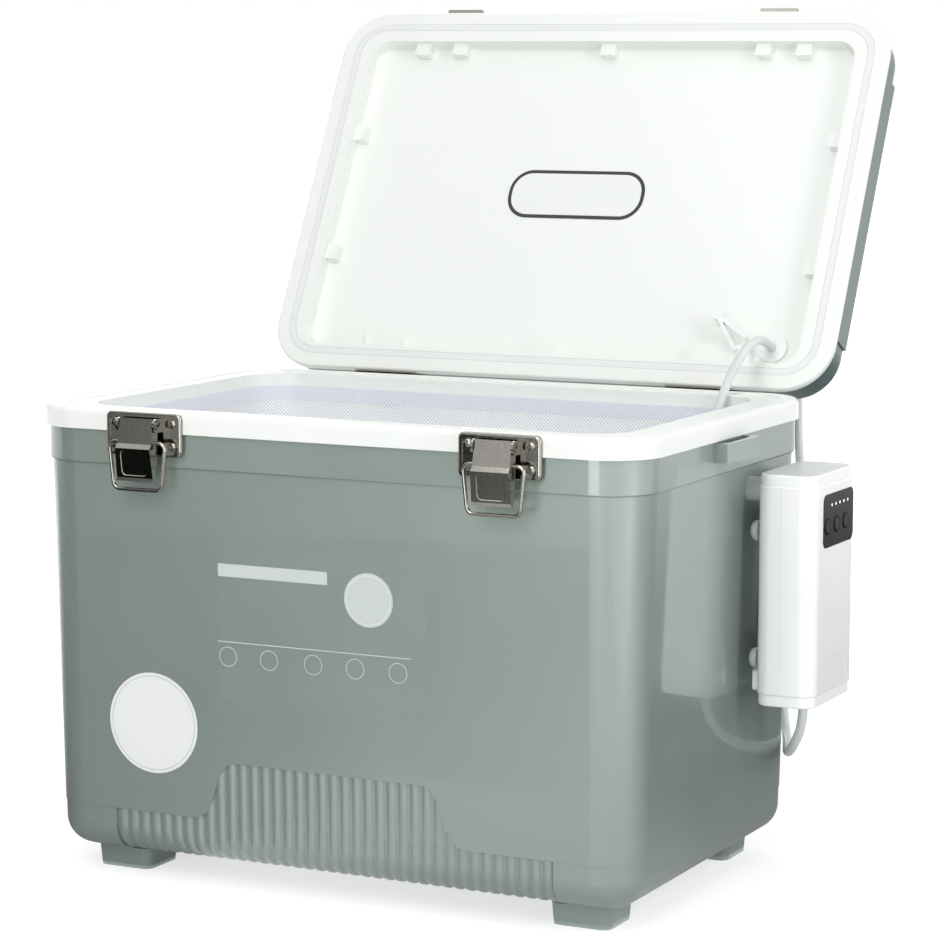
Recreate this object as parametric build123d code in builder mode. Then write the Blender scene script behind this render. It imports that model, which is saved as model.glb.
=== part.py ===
"""Insulated live-bait box: tub, hinged lid with two draw latches, bait net and a hung air pump.

Millimetres, +Z up, +X to the pump, the front at -Y. The origin is on the ground under the
tub's centre. The lid is drawn closed and swung open about its hinge when it is written.
"""

from build123d import *

import os
from math import atan2, degrees, pi, radians, tan

os.makedirs("parts", exist_ok=True)

# ---------------------------------------------------------------- driving dimensions
rim_length = 420.0  # white rim, left to right
rim_width = 282.0  # white rim, front to back
rim_corner = 34.0  # corner radius of the rim in plan
rim_height = 298.0  # top of the rim above the ground
rim_band = 13.0  # height of the white band
rim_skirt = 6.0  # thickness of the band's hanging skirt
rim_plate = 4.0  # thickness of the rim's top plate
rim_rounding = 3.5  # outer top edge of the rim
rim_step = 0.8  # the inner part of the rim lies this much lower
rim_step_inset = 12.0  # width of the higher outer part

collar_inset = 2.3  # grey collar under the band, in from the rim's face
collar_height = 21.5
collar_lip = 1.5  # the body is this much inside the collar
collar_rounding = 1.0
wall_draft = 5.1  # how much the wall leans in from the collar to the mould line
mould_line = 44.0  # height of the mould line above the ground
mould_step = 0.4  # the base is this much inside the wall at the mould line
base_draft = 0.7  # how much the base leans in below the mould line
ground_gap = 15.0  # underside of the tub above the ground
base_rounding = 18.0  # lower edge of the tub
shell_wall = 3.0

foot_length = 38.0  # left to right
foot_width = 36.0  # front to back
foot_x = 160.0
foot_y = 93.0
foot_rounding = 6.0
foot_draft = -5.0  # degrees, so that the foot widens upwards

cavity_length = 370.0  # inside of the liner at the rim
cavity_width = 233.0
cavity_corner = 28.0
cavity_draft = 12.5  # how much each wall leans in from rim to floor
cavity_depth = 245.0
cavity_rounding = 11.0
liner_wall = 3.0
seat_gap = 0.3  # clearance between nested parts
running_gap = 0.05  # radial clearance of a pin in its hole

rib_pitch = 8.0
rib_count = 38
rib_width = 7.6
rib_height = 1.4
rib_pocket = 1.6  # depth of the pocket that the ribs stand in
rib_low_top = 44.0  # height of the panel at its sides
rib_high_top = 81.0  # height of the panel in its middle
rib_high_half = 63.0  # half length of the high part
rib_low_start = 95.0  # where the low part begins
rib_bend = 20.0  # pull of the S-shaped shoulders between the two
rib_root = 0.6  # how far a rib is sunk into the wall
rib_under = 21.0  # how far the ribs run in under the tub

boss_length = 48.0  # strap boss, front to back
boss_reach = 10.3  # how far it stands out of the collar
boss_height = 12.0
boss_top_drop = 1.0  # its top is this much under the white band
boss_slot_length = 38.0
boss_slot_width = 5.6
boss_slot_depth = 10.0
boss_slot_wall = 1.2  # from the collar's face to the slot
boss_corner = 1.9
boss_root = 2.0  # how far the boss is sunk into the collar

net_gap = 0.8  # bait net from the liner's wall
net_wall = 1.2
net_drop = 9.0  # top of the net under the rim's top
hem_height = 10.0
hem_wall = 1.4

closed_gap = 0.3  # lid above the rim when it is closed
lid_setback = 1.0  # the lid's front and back lie this much inside the rim's
lid_length = rim_length
lid_width = rim_width - 2 * lid_setback
lid_corner = rim_corner
lid_height = 38.0
lid_flange = 4.7  # white flange of the lid
flange_rounding = 1.6
lid_shell_inset = 2.8  # grey lid shell, in from the flange
lid_rounding = 16.0
lid_wall = 3.0
lid_band_proud = 1.3  # raised band on the lid's two ends
lid_band_front = 45.0  # the band's front end, in from the lid's front
lid_band_back = 40.0  # and its back end, in from the lid's back
lid_band_height = 22.0
pan_inset = 23.5  # edge of the lid's hollow, in from the flange's edge
pan_back_inset = 18.5  # the same along the hinges
pan_depth = 11.0
pan_corner = 14.0
pan_wall = 2.5
pan_rounding = 2.4
pan_draft = 4.0  # degrees
groove_inset = 10.0  # gasket groove, in from the flange's edge
groove_width = 5.0
groove_depth = 2.4
gasket_gap = 0.15
lug_length = 11.0
lug_reach = 10.0
lug_height = 7.5
lug_root = 1.0  # how far the lugs run into the pan's wall and floor
lug_corner = 1.2
lug_xs = [-147.0, -117.0, 0.0, 117.0, 147.0]
side_lug_ys = [50.0, -44.0]
clip_block_in = 56.0  # block that carries the hose clip, in from the hollow's right wall
clip_block_length = 41.0
clip_block_reach = 13.0
clip_block_corner = 2.0
clip_apex_in = (62.5, 32.5)  # in from the hollow's right wall and from its hinge side
clip_arms_in = [(39.5, 17.5), (45.5, 8.5)]
clip_arm_width = 2.6
clip_arm_height = 4.5
clip_post_radius = 3.2

hinge_back = 10.0  # hinge axis behind the rim's back face
hinge_drop = 6.6  # hinge axis under the rim's top
open_angle = 117.4
hinge_x = 118.0
hinge_length = 48.0
hinge_middle = 22.0  # length of the lid's knuckle
hinge_pin_radius = 1.75
hinge_knuckle = 4.0
hinge_sheet = 2.0
hinge_end_gap = 0.3
hinge_cut_gap = 0.4  # radial clearance round the other leaf's knuckles
hinge_screw_x = 15.0  # hinge screws from the hinge's middle
tub_leaf_screw_z = 7.5  # above the leaf's lower edge
lid_leaf_screw_z = 10.0
lid_leaf_height = 16.0
lid_leaf_gap = 4.0  # lid leaf over the flange
tub_leaf_gap = 1.0  # tub leaf over the collar's lower edge
press_gap = 0.01
screw_head = 3.0  # head radius of the hinge and keeper screws
screw_shank = 1.9
screw_head_height = 1.3
screw_rounding = 0.6

latch_x = 121.5
pad_height = 13.0  # pad on the collar behind the latch plate
pad_margin = 2.0  # the pad is this much inside the plate's ends
pad_root = 1.0
plate_length = 54.0
plate_height = 27.0
plate_thick = 2.5
plate_top_drop = 0.3  # latch plate's top under the rim's top
plate_corner = 4.0
plate_rounding = 1.6
plate_border = 3.0
plate_dish = 0.6
plate_dish_corner = 2.0
latch_screw_x = 20.5  # latch screws from the plate's middle
latch_screw_z = 7.0
small_screw_head = 2.6  # head radius of the latch and keeper screws
small_screw_shank = 1.6
latch_pin_out = 8.5  # lever pin in front of the rim's face
latch_pin_drop = 7.5  # lever pin under the rim's top
latch_pin_radius = 1.5
ear_inner = 12.2
ear_thick = 1.6
ear_radius = 4.2
hood_reach = 4.0  # hood over the lever, between the ears
hood_sheet = 1.0
hood_gap = 0.5
pin_head_radius = 2.4
pin_head = 0.9
lever_sheet = 1.3
lever_half_top = 11.7
lever_half_bottom = 13.0
lever_length = 38.5
lever_shoulder = 11.2  # upper edge of the lever's shoulder under the pin
lever_belly = 14.0  # lower edge of it
lever_lip = 2.0  # height of the turned-out lower edge
lever_dish = 0.45  # depth of the dished lower panel
lever_dish_margin = 2.6
lever_dish_corner = 3.0
bail_wire = 1.25  # wire radius
bail_half_top = 20.2
bail_half_bottom = 16.9
bail_corner = 4.5
bail_out = 1.0  # bail pivot in front of the lever pin
bail_drop = 10.5  # bail pivot under the lever pin
keeper_length = 27.0
keeper_sheet = 1.5
keeper_reach = 4.5  # keeper's lip in front of the rim's face
keeper_lip = 2.4  # height of the lip over the hook's floor
keeper_rise = 15.0  # the plate above the hook's floor
keeper_gap = 1.8  # hook under the lid's flange
keeper_screw_x = 9.0
keeper_screw_z = 10.0  # over the hook's floor
bail_seat_gap = 0.5  # latched bail over the hook's floor
bail_lip_gap = 0.8  # and behind the lip

pump_gap = 6.0  # pump to the right of the rim's right end
pump_depth = 39.0
pump_y = 61.0
pump_width = 76.0
pump_drop = 37.5  # pump's top under the rim's top
pump_height = 145.0
pump_corner = 10.0
pump_wall = 2.5
pump_split = 17.0  # depth of the rear shell
pump_edge_rounding = 1.2
pump_pad_height = 14.0  # step pad low on the pump's back
pump_pad_thick = 4.0
pump_pad_corner = 3.0
seam_width = 0.5  # groove round the casing where its two shells meet
seam_depth = 0.4
cap_height = 7.0
cap_inset = 0.8
cap_rounding = 1.2
panel_width = 53.5
panel_height = 33.0
panel_corner = 5.0
panel_thick = 1.6
panel_proud = 0.3
panel_y = 4.7  # from the pump's middle
panel_drop = 30.0  # middle of the panel under the pump's top
button_radius = 5.4
button_gap = 0.2
button_proud = 0.5
button_travel = 0.8
button_slack = 0.15  # pressed button to its switch
button_rounding = 0.4
button_spacing = 16.2
button_y = -3.3  # middle button from the panel's middle
button_z = -3.2
lamp_radius = 0.9
lamp_spacing = 7.1
lamp_y = 1.8  # middle lamp from the panel's middle
lamp_z = 9.5
lamp_count = 5
board_depth = 9.0  # board behind the pump's face
board_length = 56.0
board_height = 44.0
board_thick = 1.6
board_y = -3.0  # from the panel's middle
post_radius = 2.2
post_y = 23.0  # posts from the panel's middle
post_z = 19.0
switch_size = 6.0
switch_gap = 2.6  # switch behind the inside of the casing
lamp_gap = 0.2
lamp_proud = 0.1
bumper_radius = 6.5
bumper_height = 5.0
bumper_rounding = 3.4
bumper_y = 28.0  # bumpers from the pump's middle
bumper_z = [28.5, 108.5]  # above the pump's lower end
peg_radius = 7.6
peg_y = 21.5  # from the pump's middle
peg_drop = 49.0  # pegs under the rim's top
peg_root = 30.0  # a peg reaches this far in from the rim's face before it is cut to the wall
cell_radius = 9.2
cell_length = 65.0
cell_lift = 27.5  # cells over the casing's lower end
cell_y = 24.5  # from the pump's middle
cell_rounding = 1.0
cell_button_radius = 2.8
cell_button = 1.2
motor_radius = 12.0
motor_length = 42.0
head_lift = 9.5  # pump head over the casing's lower end
head_height = 18.0
head_depth = 26.0
head_corner = 2.0
nozzle_radius = 1.6
nozzle_length = 4.0

hose_radius = 3.0
grommet_in = (23.0, 14.3)  # in from the hollow's right wall and from its hinge side
grommet_flange = 10.5
grommet_shank = 7.0
grommet_flange_height = 2.2
grommet_rounding = 1.2
barb_radius = 3.25
barb_length = 4.0  # under the pump
barb_rise = 5.0  # inside the casing
barb_collar_radius = 4.6
barb_collar = 1.5
tube_lift = 1.0  # short tube inside the pump over the casing's lower end
stone_place = (128.0, 52.0)
stone_radius = 8.0
stone_height = 22.0
stone_rounding = 2.0
stone_spigot_radius = 2.6
inner_hose_end = 90.0  # height of the hose's end on the air stone

# ---------------------------------------------------------------- levels and places
band_bottom = rim_height - rim_band
collar_bottom = band_bottom - collar_height
wall_inset = collar_inset + collar_lip
mould_inset = wall_inset + wall_draft
base_top_inset = mould_inset + mould_step
base_inset = base_top_inset + base_draft
floor_top = rim_height - cavity_depth
lid_base = rim_height + closed_gap
flange_top = lid_base + lid_flange
lid_top = rim_height + lid_height
pan_top = lid_base + pan_depth
front_face = -rim_width / 2
hinge_axis_y = rim_width / 2 + hinge_back
hinge_axis_z = rim_height - hinge_drop
hinge_axis = Axis((0, hinge_axis_y, hinge_axis_z), (1, 0, 0))


def save(piece, name, opened=False):
    """Writes one piece to its own file; pieces of the lid are swung open first."""
    part = piece.part.rotate(hinge_axis, -open_angle) if opened else piece.part
    part.label = name
    export_step(part, f"parts/{name}.step")


def open_lid_point(x, y, z):
    """Where a point of the closed lid is when the lid is open."""
    from_axis = Vector(x, y, z) - hinge_axis.position
    return from_axis.rotate(Axis.X, -open_angle) + hinge_axis.position


def plan(inset, length=rim_length, width=rim_width, corner=rim_corner):
    """Rounded rectangle that lies inside the given plan outline by inset."""
    RectangleRounded(length - 2 * inset, width - 2 * inset, corner - inset)


def tapered(levels, rounding=0, length=rim_length, width=rim_width, corner=rim_corner):
    """Block through plan outlines at (height, inset) levels, highest first, its lowest edge rounded."""
    with BuildPart() as block:
        for height, inset in levels:
            with BuildSketch(Plane.XY.offset(height)):
                plan(inset, length, width, corner)
        loft(ruled=True)
        if rounding:
            fillet(block.edges().group_by(Axis.Z)[0], radius=rounding)
    return block.part


def cross_plane(x):
    """Plane across the object at x, with Y to the right and Z up in its sketches."""
    return Plane.YZ.offset(x)


def bar(start, end, width):
    """Round-ended bar between two points of a sketch."""
    run = Vector(*end) - Vector(*start)
    with Locations((Vector(*start) + Vector(*end)) * 0.5):
        SlotCenterToCenter(run.length, width, rotation=degrees(atan2(run.Y, run.X)))


def front_plane(y):
    """Plane at y that faces the front, with X to the right and Z up in its sketches."""
    return Plane(origin=(0, y, 0), x_dir=(1, 0, 0), z_dir=(0, -1, 0))


# ---------------------------------------------------------------- tub: outer shell
wall_block = tapered([(collar_bottom, wall_inset), (mould_line, mould_inset)])
base_block = tapered([(mould_line, base_top_inset), (ground_gap, base_inset)], base_rounding)
shell_inner_wall = tapered(
    [(band_bottom, wall_inset + shell_wall), (mould_line, mould_inset + shell_wall)]
)
shell_inner_base = tapered(
    [
        (mould_line, base_top_inset + shell_wall),
        (ground_gap + shell_wall, base_inset + shell_wall),
    ],
    base_rounding - shell_wall,
)
pocket_core = tapered(
    [(mould_line, base_top_inset + rib_pocket), (ground_gap + rib_pocket, base_inset + rib_pocket)],
    base_rounding - rib_pocket,
)
pocket_core_wall = tapered(
    [(collar_bottom, wall_inset + rib_pocket), (mould_line, mould_inset + rib_pocket)]
)

# outline of the ribbed panel, seen from the front, as a block that reaches under the tub
rib_half = rib_pitch * rib_count / 2
rib_under_y = front_face + base_inset + rib_under
with BuildPart() as rib_panel:
    with BuildSketch(front_plane(rib_under_y)):
        with BuildLine():
            top = Line((-rib_high_half, rib_high_top), (rib_high_half, rib_high_top))
            right = Bezier(
                top @ 1,
                (rib_high_half + rib_bend, rib_high_top),
                (rib_low_start - rib_bend, rib_low_top),
                (rib_low_start, rib_low_top),
            )
            under = ground_gap - rib_pocket
            corners = Polyline(
                right @ 1,
                (rib_half, rib_low_top),
                (rib_half, under),
                (-rib_half, under),
                (-rib_half, rib_low_top),
                (-rib_low_start, rib_low_top),
            )
            Bezier(
                corners @ 1,
                (-rib_low_start + rib_bend, rib_low_top),
                (-rib_high_half - rib_bend, rib_high_top),
                top @ 0,
            )
        make_face()
    extrude(amount=rib_under_y - front_face)

# one rib: a low arch drawn across the wall and carried down it, round the edge and under
wall_slope = wall_draft / (collar_bottom - mould_line)
rib_start_y = front_face + mould_inset + rib_pocket - wall_slope * (rib_high_top - mould_line)
rib_floor_y = front_face + base_inset + rib_pocket
rib_floor_z = ground_gap + rib_pocket
with BuildPart() as rib:
    with BuildLine(Plane.YZ) as rib_path:
        FilletPolyline(
            (rib_start_y, rib_high_top),
            (rib_floor_y, rib_floor_z),
            (rib_under_y, rib_floor_z),
            radius=base_rounding - rib_pocket,
        )
    with BuildSketch(Plane(origin=(0, rib_start_y, rib_high_top), x_dir=(1, 0, 0), z_dir=(0, 0, -1))):
        with BuildLine():
            foot_line = Line((-rib_width / 2, -rib_root), (rib_width / 2, -rib_root))
            ThreePointArc(foot_line @ 1, (0, rib_height), foot_line @ 0)
        make_face()
    sweep()

with BuildPart() as ribs:
    with Locations([((i + 0.5) * rib_pitch - rib_half, 0, 0) for i in range(rib_count)]):
        add(rib.part)
    add(rib_panel.part, mode=Mode.INTERSECT)

with BuildPart() as rib_pocket_cut:
    add(rib_panel.part)
    add(pocket_core, mode=Mode.SUBTRACT)
    add(pocket_core_wall, mode=Mode.SUBTRACT)

with BuildPart() as outer_shell:
    with BuildSketch(Plane.XY.offset(collar_bottom)):
        plan(collar_inset)
    extrude(amount=collar_height)
    fillet(outer_shell.edges().group_by(Axis.Z)[0], radius=collar_rounding)
    add(wall_block)
    add(base_block)
    # feet
    with BuildSketch(Plane.XY):
        with Locations([(x, y) for x in (-foot_x, foot_x) for y in (-foot_y, foot_y)]):
            RectangleRounded(foot_length, foot_width, foot_rounding)
    extrude(amount=ground_gap + 1, taper=foot_draft)
    # strap bosses on both ends
    boss_top = band_bottom - boss_top_drop
    for side in (-1, 1):
        boss_face = rim_length / 2 - collar_inset
        with BuildSketch(Plane.XY.offset(boss_top - boss_height)):
            with Locations((side * (boss_face + (boss_reach - boss_root) / 2), 0)):
                RectangleRounded(boss_reach + boss_root, boss_length, boss_corner)
        extrude(amount=boss_height)
        with BuildSketch(Plane.XY.offset(boss_top)):
            with Locations((side * (boss_face + boss_slot_width / 2 + boss_slot_wall), 0)):
                Rectangle(boss_slot_width, boss_slot_length)
        extrude(amount=-boss_slot_depth, mode=Mode.SUBTRACT)
    # pads that fill the step between the collar and the latch plates
    with BuildSketch(front_plane(front_face + collar_inset + pad_root)):
        with Locations([(x, band_bottom - pad_height / 2) for x in (-latch_x, latch_x)]):
            Rectangle(plate_length - 2 * pad_margin, pad_height)
    extrude(amount=collar_inset + pad_root)
    add(rib_pocket_cut.part, mode=Mode.SUBTRACT)
    add(ribs.part)
    add(shell_inner_wall, mode=Mode.SUBTRACT)
    add(shell_inner_base, mode=Mode.SUBTRACT)
save(outer_shell, "outer_shell")

# ---------------------------------------------------------------- tub: liner and foam
cavity = tapered(
    [(rim_height + 1, 0), (floor_top, cavity_draft)],
    cavity_rounding,
    cavity_length,
    cavity_width,
    cavity_corner,
)
liner_block = tapered(
    [(rim_height - rim_plate, -liner_wall), (floor_top - liner_wall, cavity_draft - liner_wall)],
    cavity_rounding + liner_wall,
    cavity_length,
    cavity_width,
    cavity_corner,
)
with BuildPart() as tub_liner:
    with BuildSketch(Plane.XY.offset(band_bottom)):
        plan(0)
    extrude(amount=rim_band)
    fillet(tub_liner.edges().group_by(Axis.Z)[-1], radius=rim_rounding)
    with BuildSketch(Plane.XY.offset(rim_height)):
        plan(rim_step_inset)
    extrude(amount=-rim_step, mode=Mode.SUBTRACT)
    with BuildSketch(Plane.XY.offset(band_bottom)):
        plan(rim_skirt)
    extrude(amount=rim_band - rim_plate, mode=Mode.SUBTRACT)
    add(liner_block)
    add(cavity, mode=Mode.SUBTRACT)
save(tub_liner, "tub_liner")

foam_top = rim_height - rim_plate - seat_gap
foam_inset = shell_wall + seat_gap
foam_wall_block = tapered(
    [(band_bottom, wall_inset + foam_inset), (mould_line, mould_inset + foam_inset + mould_step)]
)
foam_base_block = tapered(
    [(mould_line, base_top_inset + foam_inset), (ground_gap + foam_inset, base_inset + foam_inset)],
    base_rounding - foam_inset,
)
foam_hollow = tapered(
    [
        (rim_height, -liner_wall - seat_gap),
        (floor_top - liner_wall - seat_gap, cavity_draft - liner_wall - seat_gap),
    ],
    cavity_rounding + liner_wall,
    cavity_length,
    cavity_width,
    cavity_corner,
)
with BuildPart() as tub_foam:
    with BuildSketch(Plane.XY.offset(band_bottom)):
        plan(wall_inset + foam_inset)
    extrude(amount=foam_top - band_bottom)
    add(foam_wall_block)
    add(foam_base_block)
    add(foam_hollow, mode=Mode.SUBTRACT)
save(tub_foam, "tub_foam")

# ---------------------------------------------------------------- bait net
cavity_lean = cavity_draft / (rim_height + 1 - floor_top)


def net_block(top, bottom, gap, rounding=0):
    """Block inside the cavity, its walls set in by gap."""
    return tapered(
        [
            (top, gap + cavity_lean * (rim_height + 1 - top)),
            (bottom, gap + cavity_lean * (rim_height + 1 - bottom)),
        ],
        rounding,
        cavity_length,
        cavity_width,
        cavity_corner,
    )


net_top = rim_height - net_drop
net_floor = floor_top + net_gap + net_wall
hem_bottom = net_top - hem_height
net_outside = net_block(hem_bottom - seat_gap, floor_top + net_gap, net_gap, cavity_rounding)
net_inside = net_block(hem_bottom + 1, net_floor, net_gap + net_wall, cavity_rounding - net_wall)
hem_outside = net_block(net_top, hem_bottom, net_gap / 2)
hem_inside = net_block(net_top + 1, hem_bottom - 1, net_gap / 2 + hem_wall)
with BuildPart() as bait_net:
    add(net_outside)
    add(net_inside, mode=Mode.SUBTRACT)
save(bait_net, "bait_net")

with BuildPart() as net_hem:
    add(hem_outside)
    add(hem_inside, mode=Mode.SUBTRACT)
save(net_hem, "net_hem")

# ---------------------------------------------------------------- lid: liner, gasket, foam, shell
pan_length = lid_length - 2 * pan_inset
pan_width = lid_width - pan_inset - pan_back_inset
pan_y = (pan_inset - pan_back_inset) / 2
pan_front = pan_y - pan_width / 2
pan_back = pan_y + pan_width / 2
shell_face = lid_width / 2 - lid_shell_inset  # front and back faces of the grey lid shell


def in_pan(right_in, hinge_in):
    """Place in the lid's hollow, in from its right wall and from its hinge side."""
    return (pan_length / 2 - right_in, pan_back - hinge_in)


grommet_place = in_pan(*grommet_in)


def lid_plan(inset):
    """Rounded rectangle inside the lid's flange by inset."""
    plan(inset, lid_length, lid_width, lid_corner)


def pan_plan(outside):
    """Rounded rectangle outside the lid's hollow by outside."""
    with Locations((0, pan_y)):
        plan(-outside, pan_length, pan_width, pan_corner)


lug_places = [(x, pan_front + lug_reach / 2 - lug_root) for x in lug_xs]
lug_places += [(x, pan_back - lug_reach / 2 + lug_root) for x in lug_xs[:3]]
side_lug_places = [
    (side * (pan_length / 2 - lug_reach / 2 + lug_root), y) for side in (-1, 1) for y in side_lug_ys
]
with BuildPart() as lid_liner:
    with BuildSketch(Plane.XY.offset(lid_base)):
        lid_plan(0)
    extrude(amount=lid_flange)
    fillet(lid_liner.edges().group_by(Axis.Z)[0], radius=flange_rounding)
    with BuildSketch(Plane.XY.offset(flange_top)):
        pan_plan(pan_wall)
    extrude(amount=pan_depth + pan_wall - lid_flange)
    with BuildSketch(Plane.XY.offset(lid_base)):
        pan_plan(0)
    extrude(amount=pan_depth, taper=pan_draft, mode=Mode.SUBTRACT)
    fillet(
        lid_liner.edges().filter_by_position(Axis.Z, pan_top - 0.1, pan_top + 0.1),
        radius=pan_rounding,
    )
    with BuildSketch(Plane.XY.offset(pan_top + lug_root)):
        with Locations(lug_places):
            RectangleRounded(lug_length, lug_reach, lug_corner)
        with Locations(side_lug_places):
            RectangleRounded(lug_reach, lug_length, lug_corner)
        with Locations(in_pan(clip_block_in, clip_block_reach / 2 - lug_root)):
            RectangleRounded(
                clip_block_length, clip_block_reach + 2 * lug_root, clip_block_corner
            )
    extrude(amount=-lug_height - lug_root)
    with BuildSketch(Plane.XY.offset(lid_base)):
        lid_plan(groove_inset)
        RectangleRounded(
            lid_length - 2 * (groove_inset + groove_width),
            lid_width - 2 * (groove_inset + groove_width),
            lid_corner - groove_inset - groove_width,
            mode=Mode.SUBTRACT,
        )
    extrude(amount=groove_depth, mode=Mode.SUBTRACT)
    with BuildSketch(Plane.XY.offset(lid_base)):
        with Locations(grommet_place):
            Circle(grommet_shank + seat_gap)
    extrude(amount=lid_height, mode=Mode.SUBTRACT)
save(lid_liner, "lid_liner", opened=True)

with BuildPart() as lid_gasket:
    with BuildSketch(Plane.XY.offset(lid_base + groove_depth)):
        lid_plan(groove_inset + gasket_gap)
        RectangleRounded(
            lid_length - 2 * (groove_inset + groove_width - gasket_gap),
            lid_width - 2 * (groove_inset + groove_width - gasket_gap),
            lid_corner - groove_inset - groove_width + gasket_gap,
            mode=Mode.SUBTRACT,
        )
    extrude(amount=-groove_depth)
save(lid_gasket, "lid_gasket", opened=True)

with BuildPart() as lid_hollow:
    with BuildSketch(Plane.XY.offset(flange_top)):
        lid_plan(lid_shell_inset + lid_wall)
    extrude(amount=lid_top - lid_wall - flange_top)
    fillet(lid_hollow.edges().group_by(Axis.Z)[-1], radius=lid_rounding - lid_wall)

with BuildPart() as lid_shell:
    with BuildSketch(Plane.XY.offset(flange_top)):
        lid_plan(lid_shell_inset)
    extrude(amount=lid_top - flange_top)
    fillet(lid_shell.edges().group_by(Axis.Z)[-1], radius=lid_rounding)
    with BuildSketch(Plane.YZ):
        with Locations(((lid_band_front - lid_band_back) / 2, flange_top + lid_band_height / 2)):
            Rectangle(lid_width - lid_band_front - lid_band_back, lid_band_height)
    extrude(amount=lid_length / 2 - lid_shell_inset + lid_band_proud, both=True)
    add(lid_hollow.part, mode=Mode.SUBTRACT)
    with BuildSketch(Plane.XY.offset(flange_top)):
        with Locations(grommet_place):
            Circle(grommet_shank + seat_gap)
    extrude(amount=lid_height, mode=Mode.SUBTRACT)
save(lid_shell, "lid_shell", opened=True)

with BuildPart() as lid_foam:
    with BuildSketch(Plane.XY.offset(flange_top)):
        lid_plan(lid_shell_inset + lid_wall + seat_gap)
    extrude(amount=lid_top - lid_wall - seat_gap - flange_top)
    fillet(lid_foam.edges().group_by(Axis.Z)[-1], radius=lid_rounding - lid_wall)
    with BuildSketch(Plane.XY.offset(flange_top)):
        pan_outside = pan_wall + seat_gap
        pan_plan(pan_outside)
    extrude(amount=pan_top + pan_outside - flange_top, mode=Mode.SUBTRACT)
    with BuildSketch(Plane.XY.offset(flange_top)):
        with Locations(grommet_place):
            Circle(grommet_shank + seat_gap)
    extrude(amount=lid_height, mode=Mode.SUBTRACT)
save(lid_foam, "lid_foam", opened=True)

# hose grommet: a flange inside, a flange outside and a bored shank through the lid
grommet_bottom = pan_top - grommet_flange_height
grommet_top = lid_top + grommet_flange_height
with BuildPart() as hose_grommet:
    for level, height in ((grommet_bottom, grommet_flange_height), (lid_top, grommet_flange_height)):
        with BuildSketch(Plane.XY.offset(level)):
            with Locations(grommet_place):
                Circle(grommet_flange)
        extrude(amount=height)
    outer_rims = hose_grommet.edges().filter_by(GeomType.CIRCLE)
    fillet(outer_rims.group_by(Axis.Z)[0] + outer_rims.group_by(Axis.Z)[-1], radius=grommet_rounding)
    with BuildSketch(Plane.XY.offset(grommet_bottom)):
        with Locations(grommet_place):
            Circle(grommet_shank)
    extrude(amount=grommet_top - grommet_bottom)
    with BuildSketch(Plane.XY.offset(grommet_bottom)):
        with Locations(grommet_place):
            Circle(hose_radius + running_gap)
    extrude(amount=grommet_top - grommet_bottom, mode=Mode.SUBTRACT)
save(hose_grommet, "hose_grommet", opened=True)

with BuildPart() as hose_in_lid:
    with BuildSketch(Plane.XY.offset(grommet_bottom)):
        with Locations(grommet_place):
            Circle(hose_radius)
    extrude(amount=grommet_top - grommet_bottom)
save(hose_in_lid, "hose_in_lid", opened=True)

# hose clip: a post on the pan and two arms over the block
clip_top = pan_top - lug_height
clip_apex = in_pan(*clip_apex_in)
with BuildPart() as hose_clip:
    with BuildSketch(Plane.XY.offset(pan_top)):
        with Locations(clip_apex):
            Circle(clip_post_radius)
    extrude(amount=-lug_height - clip_arm_height)
    for arm_in in clip_arms_in:
        with BuildSketch(Plane.XY.offset(clip_top)):
            bar(clip_apex, in_pan(*arm_in), clip_arm_width)
        extrude(amount=-clip_arm_height)
save(hose_clip, "hose_clip", opened=True)

# ---------------------------------------------------------------- hinges
leaf_y = rim_width / 2 - collar_inset  # the tub's leaf lies on the collar's back face
leaf_bottom = collar_bottom + tub_leaf_gap
lid_leaf_bottom = flange_top + lid_leaf_gap
web_start = (hinge_axis_y, hinge_axis_z + hinge_knuckle - 0.2)
web_end = (shell_face + hinge_sheet / 2, lid_leaf_bottom + 0.5)
web_run = Vector(web_end[0] - web_start[0], web_end[1] - web_start[1])
web_normal = Vector(-web_run.Y, web_run.X).normalized() * -1  # out of the lid, away from the tub


def beside_web(share, out):
    """Point beside the lid leaf's web when it is open: share of its length, out from its middle."""
    point = open_lid_point(
        0,
        web_start[0] + share * web_run.X + out * web_normal.X,
        web_start[1] + share * web_run.Y + out * web_normal.Y,
    )
    return (point.Y, point.Z)


def knuckle_cut(x, length, radius):
    """Cuts a round clearance of the given length about the hinge axis, centred on x."""
    with BuildSketch(cross_plane(x - length / 2)) as outline:
        with Locations((hinge_axis_y, hinge_axis_z)):
            Circle(radius)
    extrude(outline.sketch, amount=length, mode=Mode.SUBTRACT)


def knuckle(x, length, bore):
    """Adds a bored knuckle of the given length, centred on x."""
    with BuildSketch(cross_plane(x - length / 2)) as outline:
        with Locations((hinge_axis_y, hinge_axis_z)):
            Circle(hinge_knuckle)
    extrude(outline.sketch, amount=length)
    knuckle_cut(x, length + 2, bore)


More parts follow.
